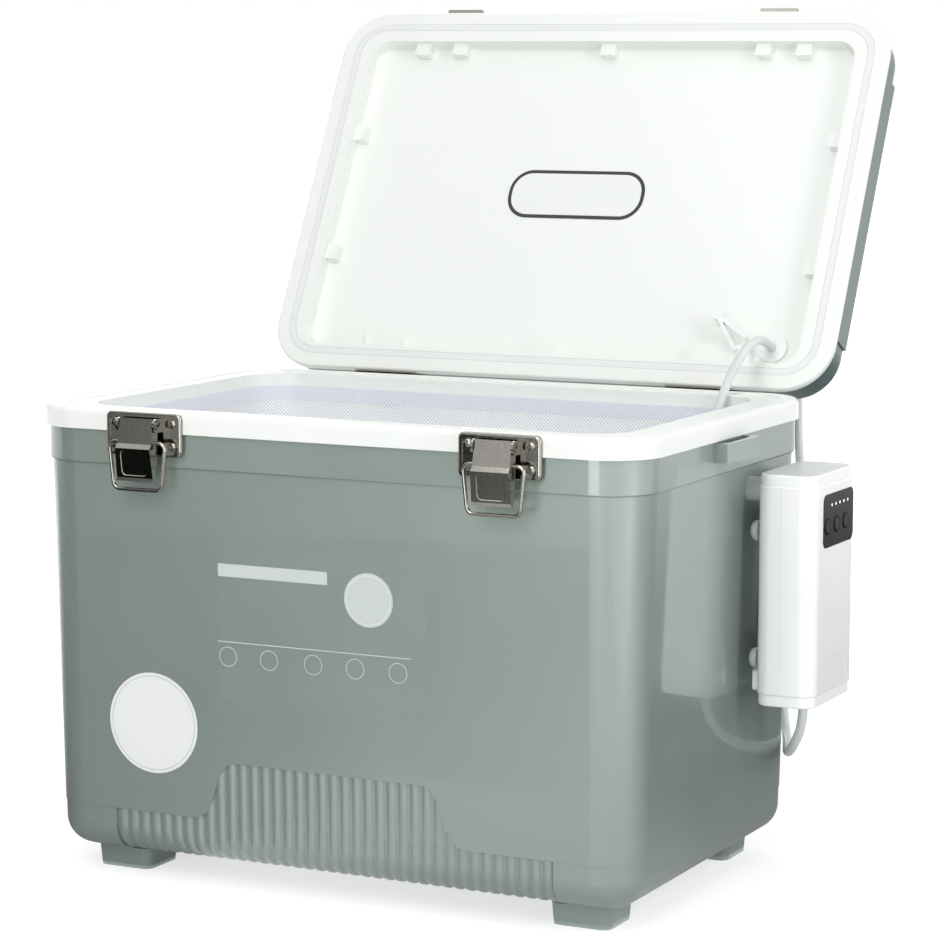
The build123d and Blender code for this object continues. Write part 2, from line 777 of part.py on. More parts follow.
stop_gap = hinge_sheet / 2 + seat_gap
tub_screw_z = leaf_bottom + tub_leaf_screw_z
lid_screw_z = lid_leaf_bottom + lid_leaf_screw_z
outer_knuckle = (hinge_length - hinge_middle) / 2 - hinge_end_gap
outer_knuckle_x = (hinge_length - outer_knuckle) / 2
hinge_screw_places = (-hinge_screw_x, hinge_screw_x)
for side, hinge_at in (("left", -hinge_x), ("right", hinge_x)):
    with BuildPart() as tub_leaf:
        with BuildSketch(cross_plane(hinge_at - hinge_length / 2)):
            with BuildLine():
                Polyline(
                    (leaf_y, leaf_bottom),
                    (leaf_y, band_bottom - 2.8),
                    (hinge_axis_y - hinge_knuckle + 0.6, hinge_axis_z - 2.8),
                    beside_web(0, stop_gap),
                    beside_web(0.5, stop_gap),
                    beside_web(0.5, stop_gap + hinge_sheet),
                    (hinge_axis_y + 3.0, hinge_axis_z - hinge_knuckle - hinge_sheet - 1.4),
                    (leaf_y + hinge_sheet, band_bottom - 6.0),
                    (leaf_y + hinge_sheet, leaf_bottom),
                    close=True,
                )
            make_face()
        extrude(amount=hinge_length)
        knuckle_cut(hinge_at, hinge_middle + 2 * hinge_end_gap, hinge_knuckle + hinge_cut_gap)
        for end in (-1, 1):
            knuckle(hinge_at + end * outer_knuckle_x, outer_knuckle, hinge_pin_radius + press_gap)
        with BuildSketch(Plane.XZ.offset(-leaf_y)):
            with Locations([(hinge_at + x, tub_screw_z) for x in hinge_screw_places]):
                Circle(screw_shank + running_gap)
        extrude(amount=-hinge_sheet, mode=Mode.SUBTRACT)
    save(tub_leaf, f"hinge_leaf_tub_{side}")

    with BuildPart() as lid_leaf:
        with BuildSketch(cross_plane(hinge_at - hinge_length / 2)):
            with Locations((shell_face + hinge_sheet / 2, lid_leaf_bottom + lid_leaf_height / 2)):
                Rectangle(hinge_sheet, lid_leaf_height)
            bar(web_start, web_end, hinge_sheet)
        extrude(amount=hinge_length)
        for end in (-1, 1):
            knuckle_cut(
                hinge_at + end * (outer_knuckle_x + 1),
                outer_knuckle + 2 + 2 * hinge_end_gap,
                hinge_knuckle + hinge_cut_gap,
            )
        knuckle(hinge_at, hinge_middle, hinge_pin_radius + running_gap)
        with BuildSketch(Plane.XZ.offset(-shell_face)):
            with Locations([(hinge_at + x, lid_screw_z) for x in hinge_screw_places]):
                Circle(screw_shank + running_gap)
        extrude(amount=-hinge_sheet, mode=Mode.SUBTRACT)
    save(lid_leaf, f"hinge_leaf_lid_{side}", opened=True)

    with BuildPart() as hinge_pin:
        with BuildSketch(cross_plane(hinge_at - hinge_length / 2)):
            with Locations((hinge_axis_y, hinge_axis_z)):
                Circle(hinge_pin_radius)
        extrude(amount=hinge_length)
    save(hinge_pin, f"hinge_pin_{side}")


def screws(places, facing, sheet, head=screw_head, shank=screw_shank):
    """Adds a domed screw at each place: its head on the sheet and its shank through it."""
    with BuildSketch(facing) as head_outline:
        with Locations(places):
            Circle(head)
    extrude(head_outline.sketch, amount=screw_head_height)
    out_of_sheet = Axis(facing.origin, facing.z_dir)
    fillet(edges().filter_by(GeomType.CIRCLE).group_by(out_of_sheet)[-1], radius=screw_rounding)
    with BuildSketch(facing) as shank_outline:
        with Locations(places):
            Circle(shank)
    extrude(shank_outline.sketch, amount=-sheet)


back_of_tub_leaf = Plane(origin=(0, leaf_y + hinge_sheet, 0), x_dir=(-1, 0, 0), z_dir=(0, 1, 0))
back_of_lid_leaf = Plane(origin=(0, shell_face + hinge_sheet, 0), x_dir=(-1, 0, 0), z_dir=(0, 1, 0))
hinge_screw_xs = [side * hinge_x + x for side in (-1, 1) for x in hinge_screw_places]
with BuildPart() as hinge_screws_tub:
    screws([(x, tub_screw_z) for x in hinge_screw_xs], back_of_tub_leaf, hinge_sheet)
save(hinge_screws_tub, "hinge_screws_tub")
with BuildPart() as hinge_screws_lid:
    screws([(x, lid_screw_z) for x in hinge_screw_xs], back_of_lid_leaf, hinge_sheet)
save(hinge_screws_lid, "hinge_screws_lid", opened=True)

# ---------------------------------------------------------------- latches
plate_z = rim_height - plate_top_drop - plate_height / 2
plate_face = front_face - plate_thick
dish_face = plate_face + plate_dish
latch_pin_y = front_face - latch_pin_out
latch_pin_z = rim_height - latch_pin_drop
bail_y = latch_pin_y - bail_out
bail_z = latch_pin_z - bail_drop
lever_bottom = latch_pin_z + ear_radius - lever_length
# the closed bail's bar lies in the keeper's hook
hook_floor = flange_top + keeper_gap + keeper_sheet
bar_y = front_face - keeper_reach + keeper_sheet + bail_wire + bail_lip_gap
bar_z = hook_floor + bail_wire + bail_seat_gap
bail_length = Vector(bar_y - bail_y, bar_z - bail_z).length
bail_turn = 180 + Vector(0, 1).get_angle(Vector(bar_y - bail_y, bar_z - bail_z))
print(f"bail length {bail_length:.2f} mm, latched at {bail_turn:.2f} degrees")
latch_screw_places = [
    (x, plate_z + z)
    for x in (-latch_screw_x, latch_screw_x)
    for z in (latch_screw_z, -latch_screw_z)
]

# side view of the lever, as (in front of the pin, above the pin), from its top to its bottom
lever_end = ear_radius - lever_length
lever_outer_shape = [
    (1.6, ear_radius),
    (4.7, -lever_shoulder),
    (6.9, -lever_belly),
    (4.1, lever_end + lever_lip),
    (4.7, lever_end),
]
lever_inner_shape = [
    (1.6, lever_end),
    (-1.4, lever_end + 11),
    (-3.3, -6.5),
    (-3.6, 0.6),
    (-2.2, ear_radius),
]
lever_outer = [(latch_pin_y - out, latch_pin_z + up) for out, up in lever_outer_shape]
lever_inner = [(latch_pin_y - out, latch_pin_z + up) for out, up in lever_inner_shape]
lever_core = [(y + lever_sheet, z) for y, z in lever_outer]
# the lower panel, from the shoulder to the lip, as a plane that faces out
panel_top = Vector(0, *lever_outer[2])
panel_end = Vector(0, *lever_outer[3])
lever_panel = Plane(
    origin=(panel_top + panel_end) * 0.5,
    x_dir=(1, 0, 0),
    z_dir=Vector(1, 0, 0).cross(panel_top - panel_end),
)
lever_panel_length = (panel_top - panel_end).length


lever_room = 12.0  # half depth of the block that the lever's front view is cut from
lever_half_room = 20.0  # half length of the block that its side view is cut from
lever_spare = 1.0
lever_dish_slope = 40.0  # degrees


def lever_front(x, inset, spare):
    """Front view of the lever as a block, its sides set in by inset and its ends out by spare."""
    with BuildSketch(front_plane(latch_pin_y - lever_room)) as outline:
        with BuildLine():
            Polyline(
                (x - lever_half_top + inset, latch_pin_z + ear_radius + spare),
                (x + lever_half_top - inset, latch_pin_z + ear_radius + spare),
                (x + lever_half_bottom - inset, lever_bottom - spare),
                (x - lever_half_bottom + inset, lever_bottom - spare),
                close=True,
            )
        make_face()
    extrude(outline.sketch, amount=-2 * lever_room)


keeper_screw_xs = (-keeper_screw_x, keeper_screw_x)
for side, x in (("left", -latch_x), ("right", latch_x)):
    with BuildPart() as latch_plate:
        with BuildSketch(front_plane(front_face)):
            with Locations((x, plate_z)):
                RectangleRounded(plate_length, plate_height, plate_corner)
        extrude(amount=plate_thick)
        fillet(latch_plate.edges().group_by(Axis.Y)[0], radius=plate_rounding)
        with BuildSketch(front_plane(plate_face)):
            with Locations((x, plate_z)):
                RectangleRounded(
                    plate_length - 2 * plate_border,
                    plate_height - 2 * plate_border,
                    plate_dish_corner,
                )
        extrude(amount=-plate_dish, mode=Mode.SUBTRACT)
        for ear_x in (x - ear_inner - ear_thick, x + ear_inner):
            with BuildSketch(cross_plane(ear_x)):
                with Locations(((latch_pin_y + dish_face) / 2, latch_pin_z)):
                    Rectangle(dish_face - latch_pin_y, 2 * ear_radius)
                with Locations((latch_pin_y, latch_pin_z)):
                    Circle(ear_radius)
                    Circle(latch_pin_radius + press_gap, mode=Mode.SUBTRACT)
            extrude(amount=ear_thick)
        # hood over the lever between the ears
        hood_z = latch_pin_z + ear_radius + hood_gap + hood_sheet / 2
        with BuildSketch(cross_plane(x - ear_inner - ear_thick)):
            with Locations((dish_face - hood_reach / 2, hood_z)):
                Rectangle(hood_reach, hood_sheet)
        extrude(amount=2 * (ear_inner + ear_thick))
        with BuildSketch(front_plane(dish_face)):
            with Locations([(x + sx, sz) for sx, sz in latch_screw_places]):
                Circle(small_screw_shank + running_gap)
        extrude(amount=-plate_thick, mode=Mode.SUBTRACT)
    save(latch_plate, f"latch_plate_{side}")

    with BuildPart() as lever_pin:
        pin_half = ear_inner + ear_thick
        with BuildSketch(cross_plane(x - pin_half)):
            with Locations((latch_pin_y, latch_pin_z)):
                Circle(latch_pin_radius)
        extrude(amount=2 * pin_half)
        for end in (x - pin_half - pin_head, x + pin_half):
            with BuildSketch(cross_plane(end)):
                with Locations((latch_pin_y, latch_pin_z)):
                    Circle(pin_head_radius)
            extrude(amount=pin_head)
    save(lever_pin, f"lever_pin_{side}")

    with BuildPart() as lever_inside:
        lever_front(x, lever_sheet, lever_spare)
        with BuildSketch(cross_plane(x - lever_half_room)):
            with BuildLine():
                Polyline(
                    (lever_core[0][0], lever_core[0][1] + lever_spare),
                    *lever_core,
                    (lever_core[-1][0], lever_core[-1][1] - lever_spare),
                    (latch_pin_y + lever_room, lever_bottom - lever_spare),
                    (latch_pin_y + lever_room, latch_pin_z + ear_radius + lever_spare),
                    close=True,
                )
            make_face()
        extrude(amount=2 * lever_half_room, mode=Mode.INTERSECT)

    with BuildPart() as lever:
        lever_front(x, 0, 0)
        with BuildSketch(cross_plane(x - lever_half_room)):
            with BuildLine():
                Polyline(*lever_outer, *lever_inner, close=True)
            make_face()
        extrude(amount=2 * lever_half_room, mode=Mode.INTERSECT)
        with BuildSketch(lever_panel):
            with Locations((x, 0)):
                RectangleRounded(
                    2 * (lever_half_top - lever_dish_margin),
                    lever_panel_length - lever_dish_margin,
                    lever_dish_corner,
                )
        extrude(amount=-lever_dish, taper=lever_dish_slope, mode=Mode.SUBTRACT)
        add(lever_inside.part, mode=Mode.SUBTRACT)
        with BuildSketch(cross_plane(x - lever_half_room)):
            with Locations((latch_pin_y, latch_pin_z)):
                Circle(latch_pin_radius + running_gap)
            with Locations((bail_y, bail_z)):
                Circle(bail_wire + running_gap)
        extrude(amount=2 * lever_half_room, mode=Mode.SUBTRACT)
    save(lever, f"latch_lever_{side}")

    with BuildPart() as bail:
        wire_end = lever_half_top - lever_sheet - bail_wire
        with BuildLine(front_plane(bail_y)) as bail_line:
            FilletPolyline(
                (x - wire_end, bail_z),
                (x - bail_half_top, bail_z),
                (x - bail_half_bottom, bail_z - bail_length),
                (x + bail_half_bottom, bail_z - bail_length),
                (x + bail_half_top, bail_z),
                (x + wire_end, bail_z),
                radius=bail_corner,
            )
        with BuildSketch(Plane(origin=(x - wire_end, bail_y, bail_z), z_dir=(-1, 0, 0))):
            Circle(bail_wire)
        sweep()
    save(bail, f"latch_bail_{side}")

    with BuildPart() as keeper:
        lip_y = front_face - keeper_reach
        plate_back = -shell_face
        with BuildSketch(cross_plane(x - keeper_length / 2)):
            with BuildLine():
                Polyline(
                    (plate_back, hook_floor + keeper_rise),
                    (plate_back, hook_floor - keeper_sheet),
                    (lip_y, hook_floor - keeper_sheet),
                    (lip_y, hook_floor + keeper_lip),
                    (lip_y + keeper_sheet, hook_floor + keeper_lip),
                    (lip_y + keeper_sheet, hook_floor),
                    (plate_back - keeper_sheet, hook_floor),
                    (plate_back - keeper_sheet, hook_floor + keeper_rise),
                    close=True,
                )
            make_face()
        extrude(amount=keeper_length)
        with BuildSketch(front_plane(plate_back)):
            with Locations([(x + sx, hook_floor + keeper_screw_z) for sx in keeper_screw_xs]):
                Circle(small_screw_shank + running_gap)
        extrude(amount=keeper_sheet, mode=Mode.SUBTRACT)
    save(keeper, f"keeper_{side}", opened=True)

with BuildPart() as latch_screws:
    screws(
        [(side * latch_x + x, z) for side in (-1, 1) for x, z in latch_screw_places],
        front_plane(dish_face),
        plate_thick - plate_dish,
        head=small_screw_head,
        shank=small_screw_shank,
    )
save(latch_screws, "latch_screws")
with BuildPart() as keeper_screws:
    screws(
        [
            (side * latch_x + x, hook_floor + keeper_screw_z)
            for side in (-1, 1)
            for x in keeper_screw_xs
        ],
        front_plane(-shell_face - keeper_sheet),
        keeper_sheet,
        head=small_screw_head,
        shank=small_screw_shank,
    )
save(keeper_screws, "keeper_screws", opened=True)

# ---------------------------------------------------------------- air pump
pump_x = rim_length / 2 + pump_gap  # back of the pump
pump_middle_x = pump_x + pump_depth / 2
pump_face = pump_x + pump_depth
pump_top = rim_height - pump_drop
pump_bottom = pump_top - pump_height
body_bottom = pump_bottom + cap_height
body_top = pump_top - cap_height
outlet = (pump_middle_x, pump_y)


def end_plane(x):
    """Plane at x that faces the right end, with Y to the right and Z up in its sketches."""
    return Plane.YZ.offset(x)


def pump_plan(inset):
    """Plan of the pump's casing, set in by inset."""
    with Locations(outlet):
        RectangleRounded(pump_depth - 2 * inset, pump_width - 2 * inset, pump_corner - inset)


with BuildPart() as pump_casing:
    with BuildSketch(Plane.XY.offset(body_bottom)):
        pump_plan(0)
    extrude(amount=body_top - body_bottom)
    ends = pump_casing.edges().group_by(Axis.Z)
    fillet(ends[0] + ends[-1], radius=pump_edge_rounding)
    with BuildSketch(Plane.XY.offset(body_bottom)):
        pump_plan(pump_wall)
    extrude(amount=body_top - body_bottom, mode=Mode.SUBTRACT)

split_x = pump_x + pump_split
with BuildPart() as pump_rear_shell:
    add(pump_casing.part)
    split(bisect_by=end_plane(split_x), keep=Keep.BOTTOM)
    # step pad low on the back
    with BuildSketch(end_plane(pump_x - pump_pad_thick)):
        with Locations((pump_y, body_bottom + pump_pad_height / 2)):
            RectangleRounded(pump_width - 2 * pump_corner, pump_pad_height, pump_pad_corner)
    extrude(amount=pump_pad_thick + pump_wall / 2)
save(pump_rear_shell, "pump_rear_shell")

board_x = pump_face - board_depth


def on_panel(y, z):
    """Place on the pump's face, from the middle of the control panel."""
    return (pump_y + panel_y + y, pump_top - panel_drop + z)


post_places = [on_panel(y, z) for y in (-post_y, post_y) for z in (-post_z, post_z)]
button_places = [on_panel(button_y + i * button_spacing, button_z) for i in (-1, 0, 1)]
lamp_places = [
    on_panel(lamp_y + (i - (lamp_count - 1) / 2) * lamp_spacing, lamp_z)
    for i in range(lamp_count)
]
panel_back = pump_face + panel_proud - panel_thick
with BuildPart() as pump_front_shell:
    add(pump_casing.part)
    split(bisect_by=end_plane(split_x), keep=Keep.TOP)
    with BuildSketch(end_plane(split_x)):
        with Locations((pump_y, (body_bottom + body_top) / 2)):
            Rectangle(pump_width, body_top - body_bottom)
            Rectangle(pump_width - 2 * seam_depth, body_top - body_bottom, mode=Mode.SUBTRACT)
    extrude(amount=seam_width, mode=Mode.SUBTRACT)
    with BuildSketch(end_plane(panel_back)):
        with Locations(on_panel(0, 0)):
            RectangleRounded(
                panel_width + 2 * button_gap, panel_height + 2 * button_gap, panel_corner
            )
    extrude(amount=2 * pump_wall, mode=Mode.SUBTRACT)
    with BuildSketch(end_plane(board_x + board_thick)):
        with Locations(post_places):
            Circle(post_radius)
    extrude(amount=pump_face - pump_wall - board_x - board_thick)
    with BuildSketch(end_plane(pump_face)):
        with Locations(button_places):
            Circle(button_radius + button_gap)
        with Locations(lamp_places):
            Circle(lamp_radius + lamp_gap)
    extrude(amount=-2 * pump_wall, mode=Mode.SUBTRACT)
save(pump_front_shell, "pump_front_shell")

with BuildPart() as control_panel:
    with BuildSketch(end_plane(panel_back)):
        with Locations(on_panel(0, 0)):
            RectangleRounded(panel_width, panel_height, panel_corner - button_gap)
        with Locations(button_places):
            Circle(button_radius + button_gap, mode=Mode.SUBTRACT)
        with Locations(lamp_places):
            Circle(lamp_radius + running_gap, mode=Mode.SUBTRACT)
    extrude(amount=panel_thick)
save(control_panel, "control_panel")

switch_top = pump_face - pump_wall - switch_gap
with BuildPart() as circuit_board:
    with BuildSketch(end_plane(board_x)):
        with Locations(on_panel(board_y, 0)):
            Rectangle(board_length, board_height)
    extrude(amount=board_thick)
    with BuildSketch(end_plane(board_x + board_thick)):
        with Locations(button_places):
            Rectangle(switch_size, switch_size)
    extrude(amount=switch_top - board_x - board_thick)
save(circuit_board, "circuit_board")

with BuildPart() as status_lamps:
    with BuildSketch(end_plane(panel_back + lamp_gap)):
        with Locations(lamp_places):
            Circle(lamp_radius)
    extrude(amount=panel_thick - lamp_gap + lamp_proud)
save(status_lamps, "status_lamps")

button_front = pump_face + panel_proud + button_proud
button_back = switch_top + button_travel + button_slack
for name, place in zip(("power", "speed", "mode"), button_places):
    with BuildPart() as button:
        with BuildSketch(end_plane(button_back)):
            with Locations(place):
                Circle(button_radius)
        extrude(amount=button_front - button_back)
        fillet(button.edges().group_by(Axis.X)[-1], radius=button_rounding)
    save(button, f"{name}_button")

for name, level, height, top in (
    ("pump_top_cap", body_top, cap_height, True),
    ("pump_bottom_cap", body_bottom, -cap_height, False),
):
    with BuildPart() as cap:
        with BuildSketch(Plane.XY.offset(level)):
            pump_plan(cap_inset)
        extrude(amount=height)
        fillet(cap.edges().group_by(Axis.Z)[-1 if top else 0], radius=cap_rounding)
        if not top:
            with BuildSketch(Plane.XY.offset(pump_bottom)):
                with Locations(outlet):
                    Circle(barb_radius + running_gap)
            extrude(amount=cap_height, mode=Mode.SUBTRACT)
    save(cap, name)

with BuildPart() as pump_bumpers:
    with BuildSketch(end_plane(pump_x)):
        with Locations(
            [(pump_y + y, pump_bottom + z) for y in (-bumper_y, bumper_y) for z in bumper_z]
        ):
            Circle(bumper_radius)
    extrude(amount=-bumper_height)
    fillet(pump_bumpers.edges().filter_by(GeomType.CIRCLE).group_by(Axis.X)[0], radius=bumper_rounding)
save(pump_bumpers, "pump_bumpers")

with BuildPart() as pump_pegs:
    with BuildSketch(end_plane(pump_x)):
        with Locations([(pump_y + y, rim_height - peg_drop) for y in (-peg_y, peg_y)]):
            Circle(peg_radius)
    extrude(amount=-pump_x + rim_length / 2 - peg_root)
    add(wall_block, mode=Mode.SUBTRACT)
save(pump_pegs, "pump_pegs")

cell_x = pump_x + pump_wall + seat_gap + cell_radius
cell_bottom = body_bottom + cell_lift
cell_places = [(cell_x, pump_y + y) for y in (-cell_y, cell_y)]
with BuildPart() as battery_cells:
    with BuildSketch(Plane.XY.offset(cell_bottom)):
        with Locations(cell_places):
            Circle(cell_radius)
    extrude(amount=cell_length)
    fillet(battery_cells.edges().filter_by(GeomType.CIRCLE), radius=cell_rounding)
    with BuildSketch(Plane.XY.offset(cell_bottom + cell_length)):
        with Locations(cell_places):
            Circle(cell_button_radius)
    extrude(amount=cell_button)
save(battery_cells, "battery_cells")

head_bottom = body_bottom + head_lift
head_middle = (pump_x + pump_wall + seat_gap + head_depth / 2, pump_y)
with BuildPart() as air_pump_unit:
    with BuildSketch(Plane.XY.offset(head_bottom)):
        with Locations(head_middle):
            RectangleRounded(head_depth, head_depth, head_corner)
    extrude(amount=head_height)
    with BuildSketch(Plane.XY.offset(head_bottom + head_height)):
        with Locations(head_middle):
            Circle(motor_radius)
    extrude(amount=motor_length)
    with BuildSketch(Plane.XY.offset(head_bottom)):
        with Locations(outlet):
            Circle(nozzle_radius)
    extrude(amount=-nozzle_length)
save(air_pump_unit, "air_pump_unit")

barb_top = body_bottom + barb_rise
barb_bottom = pump_bottom - barb_length
tube_bottom = body_bottom + tube_lift
with BuildPart() as inner_air_tube:
    with BuildSketch(Plane.XY.offset(tube_bottom)):
        with Locations(outlet):
            Circle(hose_radius)
            Circle(nozzle_radius + running_gap, mode=Mode.SUBTRACT)
    extrude(amount=head_bottom - tube_bottom)
save(inner_air_tube, "inner_air_tube")

with BuildPart() as outlet_barb:
    with BuildSketch(Plane.XY.offset(barb_bottom)):
        with Locations(outlet):
            Circle(barb_radius)
    extrude(amount=tube_bottom - barb_bottom)
    with BuildSketch(Plane.XY.offset(tube_bottom)):
        with Locations(outlet):
            Circle(nozzle_radius)
    extrude(amount=barb_top - tube_bottom)
    with BuildSketch(Plane.XY.offset(pump_bottom)):
        with Locations(outlet):
            Circle(barb_collar_radius)
    extrude(amount=-barb_collar)
save(outlet_barb, "outlet_barb")

# ---------------------------------------------------------------- air line
stone_bottom = net_floor + seat_gap
stone_top = stone_bottom + stone_height
with BuildPart() as air_stone:
    with BuildSketch(Plane.XY.offset(stone_bottom)):
        with Locations(stone_place):
            Circle(stone_radius)
    extrude(amount=stone_height)
    fillet(air_stone.edges().filter_by(GeomType.CIRCLE), radius=stone_rounding)
    with BuildSketch(Plane.XY.offset(stone_top)):
        with Locations(stone_place):
            Circle(stone_spigot_radius)
    extrude(amount=inner_hose_end - stone_top)
save(air_stone, "air_stone")

outer_route = [
    (235.5, 61, 111.5),
    (235.5, 61, 93.5),
    (227.5, 79, 78),
    (212, 104, 68),
    (197, 131, 71),
    (187, 147, 86),
    (185, 154, 113),
    (186, 167, 150),
    (183, 186, 190),
    (177, 210, 226),
    (169, 234, 254),
    (165, 243, 280),
    open_lid_point(*grommet_place, grommet_top + 20),
    open_lid_point(*grommet_place, grommet_top),
]
inner_route = [
    open_lid_point(*grommet_place, grommet_bottom),
    open_lid_point(*grommet_place, grommet_bottom - 16),
    (159.5, 155, 328),
    (156.2, 141, 316.5),
    (159.6, 114.5, 305.1),
    (157.5, 105.5, 288.5),
    (155, 99, 268),
    (152, 91, 238),
    (147, 82, 204),
    (140, 71, 170),
    (133, 60, 140),
    (128, 52, 114),
    (128, 52, 90),
]
largest_share = 0.45  # of the shorter run beside a corner


def hose(route, name):
    """Hose along the route: straight runs joined by arcs as large as the runs allow."""
    points = [Vector(*point) for point in route]
    runs = [b - a for a, b in zip(points, points[1:])]
    radii = []
    for before, after in zip(runs, runs[1:]):
        half_turn = before.get_angle(after) / 2
        shorter = min(before.length, after.length)
        radii.append(largest_share * shorter / tan(radians(half_turn)))
    print(name, "radii", [round(radius, 1) for radius in radii])
    with BuildPart() as tube:
        with BuildLine() as path:
            FilletPolyline(*points, radius=radii)
        with BuildSketch(Plane(origin=points[0], z_dir=runs[0])):
            Circle(hose_radius)
        sweep()
    length = path.wires()[0].length
    share = tube.part.volume / (pi * hose_radius**2 * length)
    print(name, "length", round(length, 1), "volume share", round(share, 4))
    save(tube, name)


hose(outer_route, "hose_outer")
hose(inner_route, "hose_inner")
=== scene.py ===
"""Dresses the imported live-bait box: materials, bait net, air hoses, screws, stickers, studio.

Metres, in the row's frame: +Z up, +X to the air pump, the front at -Y, the lid open at rest.
"""

import math

import bmesh
import bpy
from mathutils import Matrix, Vector, noise


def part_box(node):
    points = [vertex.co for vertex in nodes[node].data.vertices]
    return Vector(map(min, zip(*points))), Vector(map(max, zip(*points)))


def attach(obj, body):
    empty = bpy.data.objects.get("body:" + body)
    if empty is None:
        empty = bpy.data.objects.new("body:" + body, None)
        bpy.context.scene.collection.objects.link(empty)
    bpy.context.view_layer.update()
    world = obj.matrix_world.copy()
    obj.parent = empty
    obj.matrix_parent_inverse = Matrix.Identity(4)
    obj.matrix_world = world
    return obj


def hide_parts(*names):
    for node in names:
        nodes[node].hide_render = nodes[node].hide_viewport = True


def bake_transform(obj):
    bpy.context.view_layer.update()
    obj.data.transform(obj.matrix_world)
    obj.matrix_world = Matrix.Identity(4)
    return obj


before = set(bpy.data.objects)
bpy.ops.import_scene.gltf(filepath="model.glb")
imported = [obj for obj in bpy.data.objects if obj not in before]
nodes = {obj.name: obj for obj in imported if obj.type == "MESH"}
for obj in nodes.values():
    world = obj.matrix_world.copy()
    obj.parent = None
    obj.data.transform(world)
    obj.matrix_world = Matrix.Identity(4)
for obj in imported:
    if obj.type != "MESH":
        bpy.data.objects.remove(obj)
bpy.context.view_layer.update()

# ---------------------------------------------------------------- places
HINGE = Vector((0, 0.151, 0.2914))
OPEN_ANGLE = math.radians(117.4)
OPENED = (
    Matrix.Translation(HINGE) @ Matrix.Rotation(-OPEN_ANGLE, 4, "X") @ Matrix.Translation(-HINGE)
)


def srgb(red, green, blue):
    """Linear colour of an sRGB one, 0 to 255."""

    def linear(value):
        share = value / 255
        return share / 12.92 if share <= 0.04045 else ((share + 0.055) / 1.055) ** 2.4

    return (linear(red), linear(green), linear(blue), 1.0)


# ---------------------------------------------------------------- materials
NOISE_LOW, NOISE_HIGH = 0.15, 0.85  # nearly all of a noise texture lies between these


class Surface:
    """A Principled material and short ways to hang textures on its sockets."""

    def __init__(self, name, **sockets):
        self.material = bpy.data.materials.new(name)
        self.material.use_nodes = True
        self.tree = self.material.node_tree
        self.shader = self.tree.nodes["Principled BSDF"]
        for socket, value in sockets.items():
            self.shader.inputs[socket.replace("_", " ")].default_value = value
        self.coordinates = self.node("ShaderNodeTexCoord").outputs["Object"]

    def node(self, kind, **settings):
        """A new node with these settings."""
        made = self.tree.nodes.new(kind)
        for key, value in settings.items():
            setattr(made, key, value)
        return made

    def link(self, output, target):
        """Joins a node's output to another's input."""
        self.tree.links.new(output, target)

    def calculate(self, operation, first, second=None, third=None):
        """Result of a Math node; each operand is a number or another node's output."""
        made = self.node("ShaderNodeMath", operation=operation)
        for socket, operand in zip(made.inputs, (first, second, third)):
            if isinstance(operand, (int, float)):
                socket.default_value = operand
            elif operand is not None:
                self.link(operand, socket)
        return made.outputs[0]

    def axes(self, vector):
        """The X, Y and Z outputs of a vector."""
        made = self.node("ShaderNodeSeparateXYZ")
        self.link(vector, made.inputs[0])
        return made.outputs

    def noise(self, size, detail=3.0, stretch=(1, 1, 1)):
        """Noise whose grains are about size across, in metres."""
        mapping = self.node("ShaderNodeMapping")
        mapping.inputs["Scale"].default_value = [share / size for share in stretch]
        self.link(self.coordinates, mapping.inputs["Vector"])
        texture = self.node("ShaderNodeTexNoise")
        texture.inputs["Scale"].default_value = 1.0
        texture.inputs["Detail"].default_value = detail
        self.link(mapping.outputs["Vector"], texture.inputs["Vector"])
        return texture.outputs["Fac"]

    def ramp(self, fac, stops):
        """Colour ramp through (position, colour) stops."""
        made = self.node("ShaderNodeValToRGB")
        elements = made.color_ramp.elements
        while len(elements) < len(stops):
            elements.new(0.5)
        for element, (position, colour) in zip(elements, stops):
            element.position = position
            element.color = colour
        self.link(fac, made.inputs["Fac"])
        return made.outputs["Color"]

    def remap(self, fac, low, high, from_low=NOISE_LOW, from_high=NOISE_HIGH):
        """A value between two limits as one between low and high, and no further."""
        made = self.node("ShaderNodeMapRange")
        for socket, value in (
            ("From Min", from_low),
            ("From Max", from_high),
            ("To Min", low),
            ("To Max", high),
        ):
            made.inputs[socket].default_value = value
        self.link(fac, made.inputs["Value"])
        return made.outputs["Result"]

    def mottle(self, colour, size, spread):
        """Base colour that varies by spread, darker and lighter, over patches of this size."""
        darker = [channel * (1 - spread) for channel in colour[:3]] + [1]
        lighter = [min(1, channel * (1 + spread)) for channel in colour[:3]] + [1]
        stops = [(NOISE_LOW, darker), (NOISE_HIGH, lighter)]
        output = self.ramp(self.noise(size), stops)
        self.link(output, self.shader.inputs["Base Color"])
        return self

    def gloss(self, low, high, size, detail=3.0, stretch=(1, 1, 1)):
        """Roughness that varies from low to high over patches of this size."""
        output = self.remap(self.noise(size, detail, stretch), low, high)
        self.link(output, self.shader.inputs["Roughness"])
        return self

    def grain(self, height, size=None, fac=None):
        """Bump of that height, in metres, from noise of that size or from fac."""
        made = self.node("ShaderNodeBump")
        made.inputs["Distance"].default_value = height
        made.inputs["Strength"].default_value = 1.0
        self.link(fac or self.noise(size, detail=2.0), made.inputs["Height"])
        self.link(made.outputs["Normal"], self.shader.inputs["Normal"])
        return self


def paint(surface, *names):
    """Puts a surface on CAD nodes."""
    for name in names:
        for material_slot in nodes[name].material_slots:
            material_slot.material = surface.material


